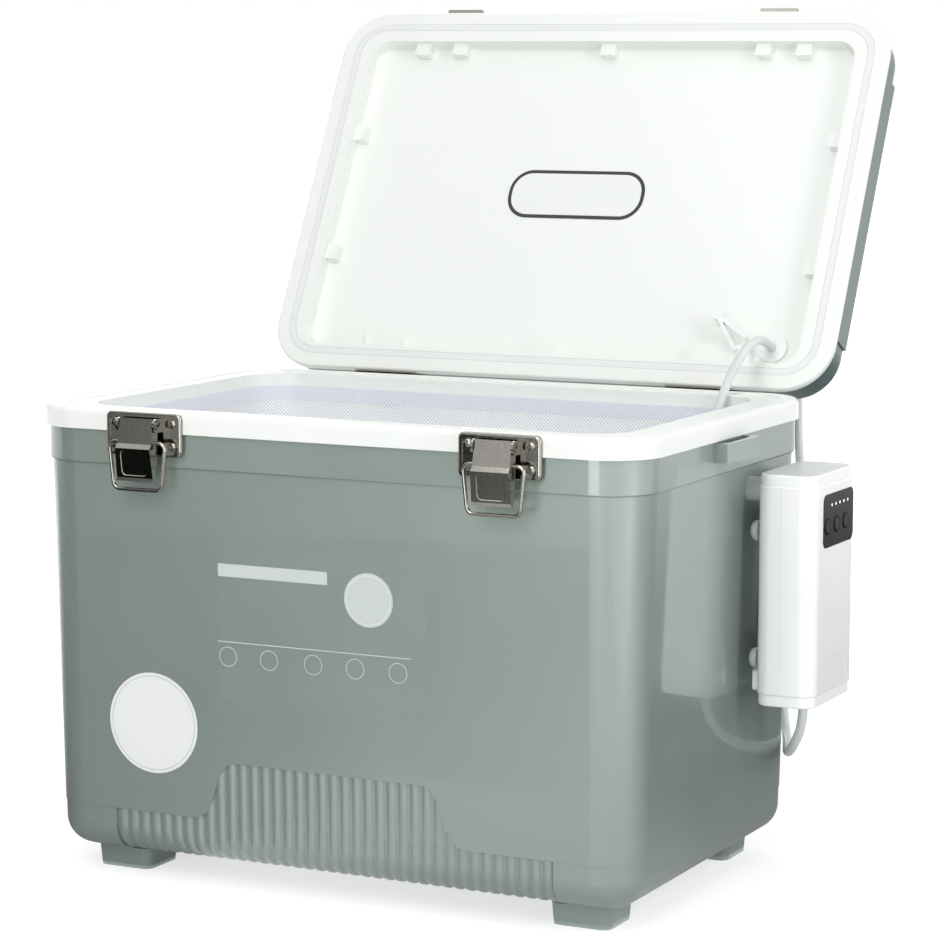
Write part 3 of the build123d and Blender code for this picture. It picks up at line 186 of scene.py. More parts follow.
paint(
    Surface("tub_plastic", Metallic=0.4, Coat_Weight=0.9, Coat_Roughness=0.045, IOR=1.5)
    .mottle(srgb(149, 162, 156), size=0.09, spread=0.02)
    .gloss(0.36, 0.44, size=0.05)
    .grain(height=0.00002, size=0.0022),
    "outer_shell",
)
paint(
    Surface("lid_plastic", Coat_Weight=0.3, Coat_Roughness=0.15, IOR=1.48)
    .mottle(srgb(92, 108, 108), size=0.09, spread=0.03)
    .gloss(0.38, 0.42, size=0.05)
    .grain(height=0.00003, size=0.0018),
    "lid_shell",
)
paint(
    Surface(
        "white_liner",
        Base_Color=srgb(241, 244, 240),
        Roughness=0.27,
        Coat_Weight=0.3,
        Coat_Roughness=0.08,
    ).grain(height=0.00001, size=0.003),
    "tub_liner",
    "lid_liner",
)
paint(
    Surface("white_fitting", Coat_Weight=0.2, Coat_Roughness=0.1)
    .mottle(srgb(242, 244, 243), size=0.01, spread=0.015)
    .gloss(0.25, 0.35, size=0.01),
    "hose_grommet",
    "hose_clip",
    "outlet_barb",
)
paint(
    Surface("foam")
    .mottle(srgb(236, 226, 190), size=0.004, spread=0.08)
    .gloss(0.85, 0.95, size=0.01)
    .grain(height=0.0004, size=0.0025),
    "tub_foam",
    "lid_foam",
)
paint(
    Surface("gasket_rubber", Sheen_Weight=0.2)
    .mottle(srgb(232, 235, 234), size=0.02, spread=0.02)
    .gloss(0.5, 0.62, size=0.01)
    .grain(height=0.00005, size=0.001),
    "lid_gasket",
)
steel = (
    Surface("stainless", Metallic=1.0)
    .mottle(srgb(158, 156, 149), size=0.0012, spread=0.2)
    .gloss(0.06, 0.15, size=0.004, stretch=(1, 1, 4))
    .grain(height=0.000012, size=0.0016)
)
STEEL_NODES = ("hinge_", "keeper_", "latch_", "lever_pin")
paint(steel, *[name for name in nodes if name.startswith(STEEL_NODES)])
PUMP_WHITE = srgb(248, 249, 247)
paint(
    Surface("pump_white", Coat_Weight=0.5, Coat_Roughness=0.05)
    .mottle(PUMP_WHITE, size=0.05, spread=0.008)
    .gloss(0.18, 0.26, size=0.03)
    .grain(height=0.00001, size=0.004),
    "pump_front_shell",
    "pump_rear_shell",
)
# the pump's caps are white, and painted shade makes them grey where they face up
pump_cap = Surface("pump_cap", Coat_Weight=0.3, Coat_Roughness=0.12)
pump_cap.gloss(0.3, 0.36, size=0.03, detail=1).grain(height=0.000005, size=0.003)
upward = pump_cap.axes(pump_cap.node("ShaderNodeTexCoord").outputs["Normal"])["Z"]
# painted shade: the caps' white turns grey as their surface turns to face up
cap_white_and_painted_shade = pump_cap.ramp(upward, [(0.86, PUMP_WHITE), (0.97, srgb(209, 214, 211))])
pump_cap.link(cap_white_and_painted_shade, pump_cap.shader.inputs["Base Color"])
paint(pump_cap, "pump_top_cap", "pump_bottom_cap")
paint(
    Surface("panel_black", Specular_IOR_Level=0.2)
    .mottle(srgb(13, 16, 14), size=0.01, spread=0.1)
    .gloss(0.1, 0.15, size=0.01),
    "control_panel",
)
paint(
    Surface("button_black", Specular_IOR_Level=0.2)
    .mottle(srgb(15, 21, 18), size=0.004, spread=0.12)
    .gloss(0.12, 0.2, size=0.004)
    .grain(height=0.00003, size=0.0008),
    "power_button",
    "speed_button",
    "mode_button",
)
paint(
    Surface("lamp_lens", Emission_Color=(0.9, 0.97, 1, 1), Emission_Strength=0.6)
    .mottle(srgb(236, 244, 246), size=0.001, spread=0.03)
    .gloss(0.1, 0.2, size=0.001),
    "status_lamps",
)
paint(
    Surface("grey_rubber")
    .mottle(srgb(186, 192, 188), size=0.004, spread=0.05)
    .gloss(0.4, 0.55, size=0.003)
    .grain(height=0.00004, size=0.001),
    "pump_bumpers",
    "pump_pegs",
)
paint(
    Surface("circuit_board", Coat_Weight=0.4)
    .mottle(srgb(28, 96, 62), size=0.003, spread=0.2)
    .gloss(0.3, 0.5, size=0.002),
    "circuit_board",
)
paint(
    Surface("cell_wrap", Coat_Weight=0.6)
    .mottle(srgb(52, 92, 158), size=0.02, spread=0.06)
    .gloss(0.2, 0.3, size=0.01),
    "battery_cells",
)
paint(
    Surface("pump_motor", Metallic=0.9)
    .mottle(srgb(176, 178, 182), size=0.006, spread=0.08)
    .gloss(0.3, 0.45, size=0.004),
    "air_pump_unit",
)
paint(
    Surface("air_stone")
    .mottle(srgb(128, 146, 160), size=0.0012, spread=0.25)
    .gloss(0.85, 0.98, size=0.002)
    .grain(height=0.0005, size=0.0009),
    "air_stone",
)
hose_clear = Surface("hose_clear", Transmission_Weight=0.12, IOR=1.4, Coat_Weight=0.3)
hose_clear.mottle(srgb(224, 230, 228), size=0.02, spread=0.02).gloss(0.3, 0.38, size=0.01)
paint(hose_clear, "hose_in_lid", "inner_air_tube")


def crossed_waves(surface, across, down):
    """How far a point is from the threads of a diamond net, 0 to 1, from its places in holes."""
    waves = []
    for sign in (1, -1):
        turned = surface.calculate("MULTIPLY_ADD", down, sign, across)
        waves.append(surface.calculate("COSINE", surface.calculate("MULTIPLY", turned, math.pi)))
    return surface.calculate("ABSOLUTE", surface.calculate("MULTIPLY", *waves))


NET_PITCH = 0.0024  # from one hole of the net to the next
HOLE_DEPTH = 0.0002
HOLE_ALPHA = 0.7  # of the cloth's holes
net_hem = Surface("net_hem", Sheen_Weight=0.3).gloss(0.6, 0.75, size=0.004)
hem_place = net_hem.axes(net_hem.coordinates)
hem_round = net_hem.calculate("ADD", hem_place["X"], hem_place["Y"])
in_holes = [net_hem.calculate("DIVIDE", place, NET_PITCH) for place in (hem_round, hem_place["Z"])]
hem_holes = crossed_waves(net_hem, *in_holes)
hem_colour = net_hem.ramp(hem_holes, [(0.35, srgb(240, 243, 249)), (0.7, srgb(212, 215, 230))])
net_hem.link(hem_colour, net_hem.shader.inputs["Base Color"])
net_hem.grain(height=-HOLE_DEPTH, fac=hem_holes)
paint(net_hem, "net_hem")


# ---------------------------------------------------------------- mesh helpers
def mesh_object(name, made, material, smooth=True):
    """Object from a bmesh, which is freed."""
    data = bpy.data.meshes.new(name)
    bmesh.ops.recalc_face_normals(made, faces=made.faces)
    made.to_mesh(data)
    made.free()
    data.materials.append(material)
    for polygon in data.polygons:
        polygon.use_smooth = smooth
    result = bpy.data.objects.new(name, data)
    bpy.context.scene.collection.objects.link(result)
    return result


def round_loop(x, y, radius, count=64):
    """Points of a circle, as pairs."""
    turns = [2 * math.pi * i / count for i in range(count)]
    return [(x + radius * math.cos(turn), y + radius * math.sin(turn)) for turn in turns]


# ---------------------------------------------------------------- air hoses
HOSE_DIAMETER = 0.006
# control points of the hoses' lines, from the CAD routes, in metres
OUTER_ROUTE = [
    (0.2355, 0.0610, 0.1115),
    (0.2355, 0.0610, 0.0980),
    (0.2250, 0.0710, 0.0800),
    (0.2130, 0.0930, 0.0710),
    (0.2035, 0.1195, 0.0720),
    (0.1925, 0.1415, 0.0850),
    (0.1850, 0.1540, 0.1130),
    (0.1880, 0.1680, 0.1500),
    (0.1870, 0.1880, 0.1900),
    (0.1765, 0.2110, 0.2260),
    (0.1650, 0.2340, 0.2540),
    (0.1615, 0.2420, 0.2800),
    (0.1635, 0.2305, 0.2995),
    (0.1635, 0.2127, 0.3087),
]
INNER_ROUTE = [
    (0.1635, 0.1851, 0.3231),
    (0.1635, 0.1709, 0.3304),
    (0.1595, 0.1550, 0.3280),
    (0.1562, 0.1410, 0.3165),
    (0.1596, 0.1145, 0.3051),
    (0.1575, 0.1055, 0.2885),
    (0.1550, 0.0990, 0.2680),
    (0.1520, 0.0910, 0.2380),
    (0.1470, 0.0820, 0.2040),
    (0.1400, 0.0710, 0.1700),
    (0.1330, 0.0600, 0.1400),
    (0.1280, 0.0520, 0.1140),
    (0.1280, 0.0520, 0.0900),
]


def hose(name, route):
    """Hose along a smooth spline with the route as its control points, and the line's points."""
    curve = bpy.data.curves.new(name, "CURVE")
    curve.dimensions = "3D"
    spline = curve.splines.new("NURBS")
    spline.points.add(len(route) - 1)
    for point, place in zip(spline.points, route):
        point.co = (*place, 1.0)
    spline.order_u = 3
    spline.use_endpoint_u = True
    spline.resolution_u = 8
    guide = bpy.data.objects.new(name + "_guide", curve)
    line = [vertex.co.copy() for vertex in bpy.data.meshes.new_from_object(guide).vertices]
    curve.bevel_depth = HOSE_DIAMETER / 2
    curve.bevel_resolution = 5
    curve.use_fill_caps = True
    tube = bpy.data.meshes.new_from_object(guide)
    bpy.data.objects.remove(guide)
    tube.materials.clear()
    tube.materials.append(hose_clear.material)
    for polygon in tube.polygons:
        polygon.use_smooth = True
    result = bpy.data.objects.new(name, tube)
    bpy.context.scene.collection.objects.link(result)
    return result, line


outer_hose, outer_line = hose("air_hose_outside", OUTER_ROUTE)
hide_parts("hose_outer")
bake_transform(outer_hose)
inner_hose, inner_line = hose("air_hose_inside", INNER_ROUTE)
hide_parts("hose_inner")
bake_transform(inner_hose)

# ---------------------------------------------------------------- bait net
NET_LOW, NET_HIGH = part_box("bait_net")
HEM_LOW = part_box("net_hem")[0]
NET_CORNER = 0.026  # corner radius at the hem
NET_RINGS = 26
NET_COLUMNS = 420
NET_CLEAR = 0.0006  # from the CAD net's outside to the cloth
NET_LEAN = 0.0508  # how far the walls come in for each metre down
NET_WALL_TOP = HEM_LOW.z + 0.001  # the cloth goes up behind the hem
NET_SAME_PLACE = 0.00001  # points of the cloth closer than this are one
FOLD_START = 0.045  # the folds reach their depth this far under the hem
RIPPLE, RIPPLE_DEPTH = (22, 16, 3.1), 0.0016
CREASE, CREASE_DEPTH = (9, 7, 8.4), 0.003
FLOOR_TURN = 0.012  # height over which the wall turns into the floor
FLOOR_TURN_IN, FLOOR_TURN_UP = 0.008, 0.001  # how far it comes in and up there
FLOOR_RINGS = 12
FLOOR_GAP = 0.0008  # from the CAD net's underside to the cloth's floor
FLOOR_WAVE, WAVES_A_METRE, FLOOR_PATTERN = 0.0012, 30, 1.7
FLAT_RINGS = 3  # rings of the floor over which its waves grow from the wall
# how far the net bulges in from the liner: (place in turns round the net, width in turns, depth)
NET_FOLDS = [
    (0.055, 0.035, 0.0035),
    (0.19, 0.05, 0.011),
    (0.27, 0.03, 0.008),
    (0.335, 0.045, 0.013),
    (0.43, 0.03, 0.009),
    (0.56, 0.05, 0.011),
    (0.69, 0.04, 0.012),
    (0.80, 0.05, 0.009),
    (0.93, 0.04, 0.010),
]


def outline(half_x, half_y, corner, count):
    """Evenly spaced points round a rounded rectangle, with their outward normals."""
    straight = [(half_x - corner) * 2, (half_y - corner) * 2]
    quarter = math.pi / 2 * corner
    sides = [straight[1], quarter, straight[0], quarter] * 2
    total = sum(sides)
    places = []
    corners = [(1, 1), (-1, 1), (-1, -1), (1, -1)]
    for i in range(count):
        along = i / count * total
        for index, side in enumerate(sides):
            if along <= side:
                break
            along -= side
        turn = index // 2
        angle = turn * math.pi / 2
        outward = Vector((math.cos(angle), math.sin(angle)))
        onward = Vector((-outward.y, outward.x))
        centre = Vector(
            (corners[turn][0] * (half_x - corner), corners[turn][1] * (half_y - corner))
        )
        if index % 2:
            angle += along / corner
            normal = Vector((math.cos(angle), math.sin(angle)))
            places.append((centre + normal * corner, normal))
        else:
            places.append((centre + outward * corner - onward * (side - along), outward))
    return places, total


def net_noise(turn, drop, pattern):
    """Noise on the net's wall; pattern is its lumps a turn, its lumps a metre and its own place."""
    per_turn, per_metre, place = pattern
    return noise.noise(Vector((turn * per_turn, drop * per_metre, place)))


def net_bulge(turn, drop):
    """How far in from the liner the net hangs: a share of the way round, and down from the hem."""
    depth = 0.0
    for place, width, most in NET_FOLDS:
        away = abs((turn - place + 0.5) % 1 - 0.5)
        depth += most * math.exp(-((away / width) ** 2))
    ripple = net_noise(turn, drop, RIPPLE) * RIPPLE_DEPTH
    crease = abs(net_noise(turn, drop, CREASE)) * CREASE_DEPTH
    grow = min(1.0, drop / FOLD_START)
    return max(0.0, (depth + ripple + crease) * grow * grow * (3 - 2 * grow))


net_mesh = bmesh.new()
net_uv = net_mesh.loops.layers.uv.new("net")
height = NET_WALL_TOP - NET_LOW.z
rings = []
for row in range(NET_RINGS + 1):
    share = row / NET_RINGS
    drop = share * height
    inward = NET_LEAN * drop
    places, girth = outline(
        NET_HIGH.x - NET_CLEAR - inward,
        NET_HIGH.y - NET_CLEAR - inward,
        NET_CORNER - inward,
        NET_COLUMNS,
    )
    near_floor = max(0.0, 1 - (height - drop) / FLOOR_TURN)
    wall_z = NET_WALL_TOP - drop + FLOOR_TURN_UP * near_floor
    row_of_points = []
    for column, (place, normal) in enumerate(places):
        bulge = net_bulge(column / NET_COLUMNS, drop) + FLOOR_TURN_IN * near_floor * near_floor
        spot = place - normal * bulge
        row_of_points.append(net_mesh.verts.new((spot.x, spot.y, wall_z)))
    rings.append(row_of_points)
for row, (upper, lower) in enumerate(zip(rings, rings[1:])):
    for column in range(NET_COLUMNS):
        after = (column + 1) % NET_COLUMNS
        face = net_mesh.faces.new((upper[column], upper[after], lower[after], lower[column]))
        spots = ((column, row), (column + 1, row), (column + 1, row + 1), (column, row + 1))
        for loop, (across, down) in zip(face.loops, spots):
            loop[net_uv].uv = (
                across / NET_COLUMNS * girth / NET_PITCH,
                down / NET_RINGS * height / NET_PITCH,
            )
# the net's floor, ring by ring to its middle
outer_ring = rings[-1]
floor_z = NET_LOW.z + FLOOR_GAP
for row in range(1, FLOOR_RINGS + 1):
    share = 1 - row / FLOOR_RINGS
    inner_ring = []
    for vertex in rings[-1]:
        x, y, _ = vertex.co
        wave = noise.noise(Vector((x * WAVES_A_METRE, y * WAVES_A_METRE * share, FLOOR_PATTERN)))
        lift = FLOOR_WAVE * (1 + wave)
        spot_z = floor_z + lift * min(1, row / FLAT_RINGS)
        inner_ring.append(net_mesh.verts.new((x * share, y * share, spot_z)))
    for column in range(NET_COLUMNS):
        after = (column + 1) % NET_COLUMNS
        face = net_mesh.faces.new(
            (outer_ring[column], outer_ring[after], inner_ring[after], inner_ring[column])
        )
        for loop in face.loops:
            loop[net_uv].uv = (loop.vert.co.x / NET_PITCH, loop.vert.co.y / NET_PITCH)
    outer_ring = inner_ring
bmesh.ops.remove_doubles(net_mesh, verts=net_mesh.verts, dist=NET_SAME_PLACE)

net_surface = Surface("net_cloth", Sheen_Weight=0.4).gloss(0.55, 0.7, size=0.004)
net_place = net_surface.axes(net_surface.node("ShaderNodeUVMap", uv_map="net").outputs["UV"])
holes = crossed_waves(net_surface, net_place["X"], net_place["Y"])
net_colour = net_surface.ramp(holes, [(0.36, srgb(248, 250, 251)), (0.7, srgb(226, 230, 238))])
net_surface.link(net_colour, net_surface.shader.inputs["Base Color"])
see_through = net_surface.remap(holes, 1.0, HOLE_ALPHA, 0.6, 0.85)
net_surface.link(see_through, net_surface.shader.inputs["Alpha"])
net_surface.grain(height=-HOLE_DEPTH, fac=holes)

bait_net = mesh_object("bait_net_cloth", net_mesh, net_surface.material)
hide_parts("bait_net")
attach(bait_net, "tub")


# ---------------------------------------------------------------- screws
SAME_PLACE = 0.000002  # vertices of a CAD mesh closer than this are one
HEAD_HEIGHT = 0.0013
# a head's outline from its edge to its top: (share of the radius, share of the height)
HEAD_PROFILE = [(1.0, 0.0), (1.0, 0.35), (0.96, 0.55), (0.86, 0.75), (0.68, 0.9), (0.4, 0.98)]
HEAD_SIDES = 40
SHARP_EDGE = math.radians(40)
FIRST_TURN, HEAD_TURN = math.radians(11), math.radians(37)  # how each next cross stands
CROSS_REACH, CROSS_HALF_WIDTH = 0.62, 0.15  # shares of the head's radius
CROSS_MIDDLE, CROSS_HALF_HEIGHT = 1.1, 0.75  # of the cutter, as shares of the head's height


def islands(node):
    """Vertex places of each separate solid of a CAD node, in the mesh's order."""
    made = bmesh.new()
    made.from_mesh(nodes[node].data)
    bmesh.ops.remove_doubles(made, verts=made.verts, dist=SAME_PLACE)
    left = set(made.verts)
    found = []
    for start in made.verts:
        if start not in left:
            continue
        left.remove(start)
        group, front = [start], [start]
        while front:
            vertex = front.pop()
            for edge in vertex.link_edges:
                other = edge.other_vert(vertex)
                if other in left:
                    left.remove(other)
                    group.append(other)
                    front.append(other)
        found.append([vertex.co.copy() for vertex in group])
    made.free()
    return found


def crosshead():
    """Domed screw head of radius 1 and its real height, with a cross recess, on the XY plane."""
    dome = bmesh.new()
    loops = [
        [
            dome.verts.new((x, y, up * HEAD_HEIGHT))
            for x, y in round_loop(0, 0, radius, HEAD_SIDES)
        ]
        for radius, up in HEAD_PROFILE
    ]
    tip = dome.verts.new((0, 0, HEAD_HEIGHT))
    for lower, upper in zip(loops, loops[1:]):
        for i in range(HEAD_SIDES):
            after = (i + 1) % HEAD_SIDES
            dome.faces.new((lower[i], lower[after], upper[after], upper[i]))
    for i in range(HEAD_SIDES):
        dome.faces.new((loops[-1][i], loops[-1][(i + 1) % HEAD_SIDES], tip))
    dome.faces.new(reversed(loops[0]))
    head = mesh_object("screw_head_blank", dome, steel.material)
    cross = bmesh.new()
    for along, across in ((CROSS_REACH, CROSS_HALF_WIDTH), (CROSS_HALF_WIDTH, CROSS_REACH)):
        bmesh.ops.create_cube(
            cross,
            size=2,
            matrix=Matrix.Translation((0, 0, HEAD_HEIGHT * CROSS_MIDDLE))
            @ Matrix.Diagonal((along, across, HEAD_HEIGHT * CROSS_HALF_HEIGHT, 1)),
        )
    cutter = mesh_object("screw_head_cutter", cross, steel.material, smooth=False)
    cut = head.modifiers.new("recess", "BOOLEAN")
    cut.object = cutter
    cut.operation = "DIFFERENCE"
    cut.solver = "EXACT"
    cut.use_self = True
    bpy.context.view_layer.update()
    made = bpy.data.meshes.new_from_object(
        head.evaluated_get(bpy.context.evaluated_depsgraph_get())
    )
    bpy.data.objects.remove(head)
    bpy.data.objects.remove(cutter)
    return made


CROSSHEAD = crosshead()


def screw_heads(node, facing, body):
    """Crosshead screws in place of a node's plain ones; facing points out of their heads."""
    facing = Vector(facing).normalized()
    turn = facing.to_track_quat("Z", "Y").to_matrix().to_4x4()
    made = bmesh.new()
    for index, group in enumerate(islands(node)):
        top = max(place @ facing for place in group)
        middle = sum(group, Vector()) / len(group)
        from_middle = [place - middle for place in group]
        radius = max((offset - facing * (offset @ facing)).length for offset in from_middle)
        seat = middle + facing * (top - HEAD_HEIGHT - middle @ facing)
        spin = Matrix.Rotation(HEAD_TURN * index + FIRST_TURN, 4, "Z")
        placed = CROSSHEAD.copy()
        placed.transform(
            Matrix.Translation(seat) @ turn @ spin @ Matrix.Diagonal((radius, radius, 1, 1))
        )
        made.from_mesh(placed)
        bpy.data.meshes.remove(placed)
    result = mesh_object(node + "_crosshead", made, steel.material)
    result.modifiers.new("edges", "EDGE_SPLIT").split_angle = SHARP_EDGE
    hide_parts(node)
    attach(result, body)


lid_turn = OPENED.to_3x3()
screw_heads("latch_screws", (0, -1, 0), "tub")
screw_heads("keeper_screws", lid_turn @ Vector((0, -1, 0)), "lid")
screw_heads("hinge_screws_tub", (0, 1, 0), "tub")
screw_heads("hinge_screws_lid", lid_turn @ Vector((0, 1, 0)), "lid")

# ---------------------------------------------------------------- blank stickers and labels
WALL_Y, WALL_Z = -0.1372, 0.2635  # a point of the front wall
WALL_SLOPE = (0.1372 - 0.1321) / (0.2635 - 0.044)
PAN_Z = 0.3093  # of the lid's pan, with the lid closed
PUMP_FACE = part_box("pump_front_shell")[1].x
STICKER = 0.00012  # thickness of a sticker
STICKER_GAP = 0.00004  # behind a sticker
FILM_OUT = 0.0003  # the clear film, off the wall
PRINT_OUT = 0.0002  # a print or sticker in front of another
OVERPRINT_OUT = 0.0004  # one in front of that


def on_wall(x, z, out):
    """Point in front of the front wall by out."""
    return Vector((x, WALL_Y - WALL_SLOPE * (z - WALL_Z) - out, z))


def on_pan(x, y, out):
    """Point off the lid's pan by out, given where it is with the lid closed."""
    return OPENED @ Vector((x, y, PAN_Z - out))


def on_pump(y, z, out):
    """Point in front of the air pump's face by out."""
    return Vector((PUMP_FACE + out, y, z))


def sticker(name, place, loop, body, surface, out=STICKER_GAP):
    """Thin sheet on a surface: loop is its edge, as pairs that place() turns into points."""
    made = bmesh.new()
    back = [made.verts.new(place(*spot, out)) for spot in loop]
    front = [made.verts.new(place(*spot, out + STICKER)) for spot in loop]
    made.faces.new(back)
    made.faces.new(front)
    for i in range(len(loop)):
        after = (i + 1) % len(loop)
        made.faces.new((back[i], back[after], front[after], front[i]))
    result = mesh_object(name, made, surface.material, smooth=False)
    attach(result, body)


def box_loop(x0, x1, z0, z1, corner, count=10):
    """Points of a rounded rectangle, as pairs."""
    inner_x0, inner_x1, inner_z0, inner_z1 = x0 + corner, x1 - corner, z0 + corner, z1 - corner
    centres = (
        (inner_x1, inner_z1),
        (inner_x0, inner_z1),
        (inner_x0, inner_z0),
        (inner_x1, inner_z0),
    )
    loop = []
    for quarter, (x, z) in enumerate(centres):
        for i in range(count + 1):
            angle = (quarter + i / count) * math.pi / 2
            loop.append((x + corner * math.cos(angle), z + corner * math.sin(angle)))
    return loop


def ring(name, place, middle, radius, width, body, surface, out):
    """Thin ring printed on a surface."""
    made = bmesh.new()
    inner, outer = [
        [made.verts.new(place(*spot, out + STICKER)) for spot in round_loop(*middle, size)]
        for size in (radius - width, radius)
    ]
    for i in range(len(inner)):
        after = (i + 1) % len(inner)
        made.faces.new((inner[i], inner[after], outer[after], outer[i]))
    result = mesh_object(name, made, surface.material, smooth=False)
    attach(result, body)


vinyl_white = (
    Surface("vinyl_white", Coat_Weight=0.4, Coat_Roughness=0.08)
    .mottle(srgb(238, 240, 240), size=0.02, spread=0.01)
    .gloss(0.28, 0.36, size=0.01)
)
vinyl_pale = (
    Surface("vinyl_pale", Coat_Weight=0.4, Coat_Roughness=0.08)
    .mottle(srgb(206, 214, 212), size=0.02, spread=0.015)
    .gloss(0.28, 0.36, size=0.01)
)
vinyl_black = (
    Surface("vinyl_black", Coat_Weight=0.4, Coat_Roughness=0.1)
    .mottle(srgb(24, 26, 26), size=0.01, spread=0.1)
    .gloss(0.3, 0.4, size=0.01)
)
vinyl_clear = (
    Surface("vinyl_clear", Alpha=0.06, Coat_Weight=0.6, Coat_Roughness=0.04)
    .mottle(srgb(196, 207, 203), size=0.03, spread=0.02)
    .gloss(0.2, 0.3, size=0.02)
)
print_green = (
    Surface("print_green")
    .mottle(srgb(34, 84, 66), size=0.002, spread=0.15)
    .gloss(0.3, 0.4, size=0.002)
)


def wall_sticker(name, loop, surface, out=STICKER_GAP):
    """Sticker on the tub's front."""
    sticker(name, on_wall, loop, "tub", surface, out)


def wall_ring(name, middle, radius, width, surface, out=PRINT_OUT):
    """Ring printed on the tub's front."""
    ring(name, on_wall, middle, radius, width, "tub", surface, out)


ROUND_LABEL = (-0.1226, 0.1015)
SMALL_LABEL = (0.0311, 0.1913)
MARKS_X = (-0.0674, -0.0384, -0.0076, 0.0214, 0.0506)
MARKS_Z = 0.1485
wall_sticker("round_label", round_loop(*ROUND_LABEL, 0.032), vinyl_white)
wall_ring("round_label_ring", ROUND_LABEL, 0.0302, 0.0006, vinyl_pale)
film = bmesh.new()
film_loop = box_loop(-0.074, 0.0705, 0.1205, 0.2245, 0.003)
film.faces.new([film.verts.new(on_wall(*spot, FILM_OUT)) for spot in film_loop])
clear_film = mesh_object("clear_film", film, vinyl_clear.material, smooth=False)
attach(clear_film, "tub")
wall_sticker("small_label", round_loop(*SMALL_LABEL, 0.0166), vinyl_pale, PRINT_OUT)
wall_ring("small_label_ring", SMALL_LABEL, 0.0152, 0.0004, vinyl_white, OVERPRINT_OUT)
bar_loop = box_loop(-0.0734, 0.003, 0.1985, 0.2065, 0.0006)
wall_sticker("bar_label", bar_loop, vinyl_pale, PRINT_OUT)
line_loop = box_loop(-0.0744, 0.0595, 0.1575, 0.1581, 0.0001)
wall_sticker("thin_line", line_loop, vinyl_pale, PRINT_OUT)
for index, x in enumerate(MARKS_X):
    wall_ring(f"round_mark_{index + 1}", (x, MARKS_Z), 0.0063, 0.0005, vinyl_pale)

LABEL_X, LABEL_Y, LABEL_LENGTH, LABEL_WIDTH, LABEL_CORNER = -0.0041, -0.002, 0.105, 0.038, 0.017


def lid_sticker(name, inset, surface, out=STICKER_GAP):
    """Sticker on the lid's pan, smaller all round than the lid's label by inset."""
    half_x, half_y = LABEL_LENGTH / 2 - inset, LABEL_WIDTH / 2 - inset
    loop = box_loop(
        LABEL_X - half_x,
        LABEL_X + half_x,
        LABEL_Y - half_y,
        LABEL_Y + half_y,
        LABEL_CORNER - inset,
    )
    sticker(name, on_pan, loop, "lid", surface, out)


lid_sticker("lid_label_edge", 0, vinyl_white)
lid_sticker("lid_label_line", 0.0006, vinyl_black, PRINT_OUT)
lid_sticker("lid_label", 0.0032, vinyl_white, OVERPRINT_OUT)

pump_loop = box_loop(0.036, 0.086, 0.127, 0.147, 0.002)
sticker("pump_label", on_pump, pump_loop, "tub", vinyl_white)
for name in ("power", "speed", "mode"):
    body = f"{name}_button"
    low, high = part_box(body)
    middle = (low + high) / 2
    button_out = high.x - PUMP_FACE - STICKER
    ring(
        f"{name}_ring",
        on_pump,
        (middle.y, middle.z),
        0.0047,
        0.0005,
        body,
        print_green,
        button_out,
    )

# ---------------------------------------------------------------- camera
CAMERA_PLACE = Vector((0.9238, -1.7957, 0.5141))
CAMERA_YAW = math.radians(26.396)
CAMERA_PITCH = math.radians(-7.393)
CAMERA_ROLL = math.radians(0.109)
SENSOR = 36.0
FOCAL_PIXELS = 3186.8
PHOTO_WIDTH = 943
camera_data = bpy.data.cameras.new("camera")
camera_data.sensor_width = SENSOR
camera_data.lens = FOCAL_PIXELS / PHOTO_WIDTH * SENSOR
camera = bpy.data.objects.new("camera", camera_data)
camera.matrix_world = (
    Matrix.Translation(CAMERA_PLACE)
    @ Matrix.Rotation(CAMERA_YAW, 4, "Z")
    @ Matrix.Rotation(math.radians(90) + CAMERA_PITCH, 4, "X")
    @ Matrix.Rotation(CAMERA_ROLL, 4, "Z")
)
bpy.context.scene.collection.objects.link(camera)
bpy.context.scene.camera = camera

# ---------------------------------------------------------------- floor, lamps and world
WHITE = (1, 1, 1, 1)
FLOOR_SIZE = 30
GLOW_NEAR, GLOW_FAR = 0.66, 1.1  # strength of the floor's own white, near the object and far off
GLOW_FROM, GLOW_TO = 0.35, 1.3  # distances from the object between which it changes
FLOOR_SHADE = (0.5, 0.5, 0.5, 1)  # the part of the floor's colour that takes the shadow
FILL = 0.38  # strength of the world's own light


def background_rays(tree):
    """1 for the rays that see the backdrop: the camera's, mirrored ones and those through glass."""
    path = tree.nodes.new("ShaderNodeLightPath")
    seen = path.outputs["Is Camera Ray"]
    for kind in ("Is Glossy Ray", "Is Transmission Ray"):
        either = tree.nodes.new("ShaderNodeMath")
        either.operation = "MAXIMUM"
        tree.links.new(seen, either.inputs[0])
        tree.links.new(path.outputs[kind], either.inputs[1])
        seen = either.outputs[0]
    return seen


floor_mesh = bmesh.new()
bmesh.ops.create_grid(floor_mesh, x_segments=1, y_segments=1, size=FLOOR_SIZE)
floor_surface = Surface("floor", Base_Color=(0.8, 0.8, 0.8, 1), Roughness=0.9)
floor = mesh_object("floor", floor_mesh, floor_surface.material, smooth=False)

glow = floor_surface.node("ShaderNodeEmission")
glow.inputs["Color"].default_value = WHITE
distance = floor_surface.node("ShaderNodeVectorMath", operation="LENGTH")
floor_surface.link(floor_surface.coordinates, distance.inputs[0])
floor_surface.link(
    floor_surface.remap(distance.outputs["Value"], GLOW_NEAR, GLOW_FAR, GLOW_FROM, GLOW_TO),
    glow.inputs["Strength"],
)
shade = floor_surface.node("ShaderNodeBsdfDiffuse")
shade.inputs["Color"].default_value = FLOOR_SHADE
shown_floor = floor_surface.node("ShaderNodeAddShader")
floor_surface.link(glow.outputs[0], shown_floor.inputs[0])
floor_surface.link(shade.outputs[0], shown_floor.inputs[1])
choice = floor_surface.node("ShaderNodeMixShader")
floor_surface.link(background_rays(floor_surface.tree), choice.inputs[0])
floor_surface.link(floor_surface.shader.outputs[0], choice.inputs[1])
floor_surface.link(shown_floor.outputs[0], choice.inputs[2])
floor_output = floor_surface.tree.nodes["Material Output"]
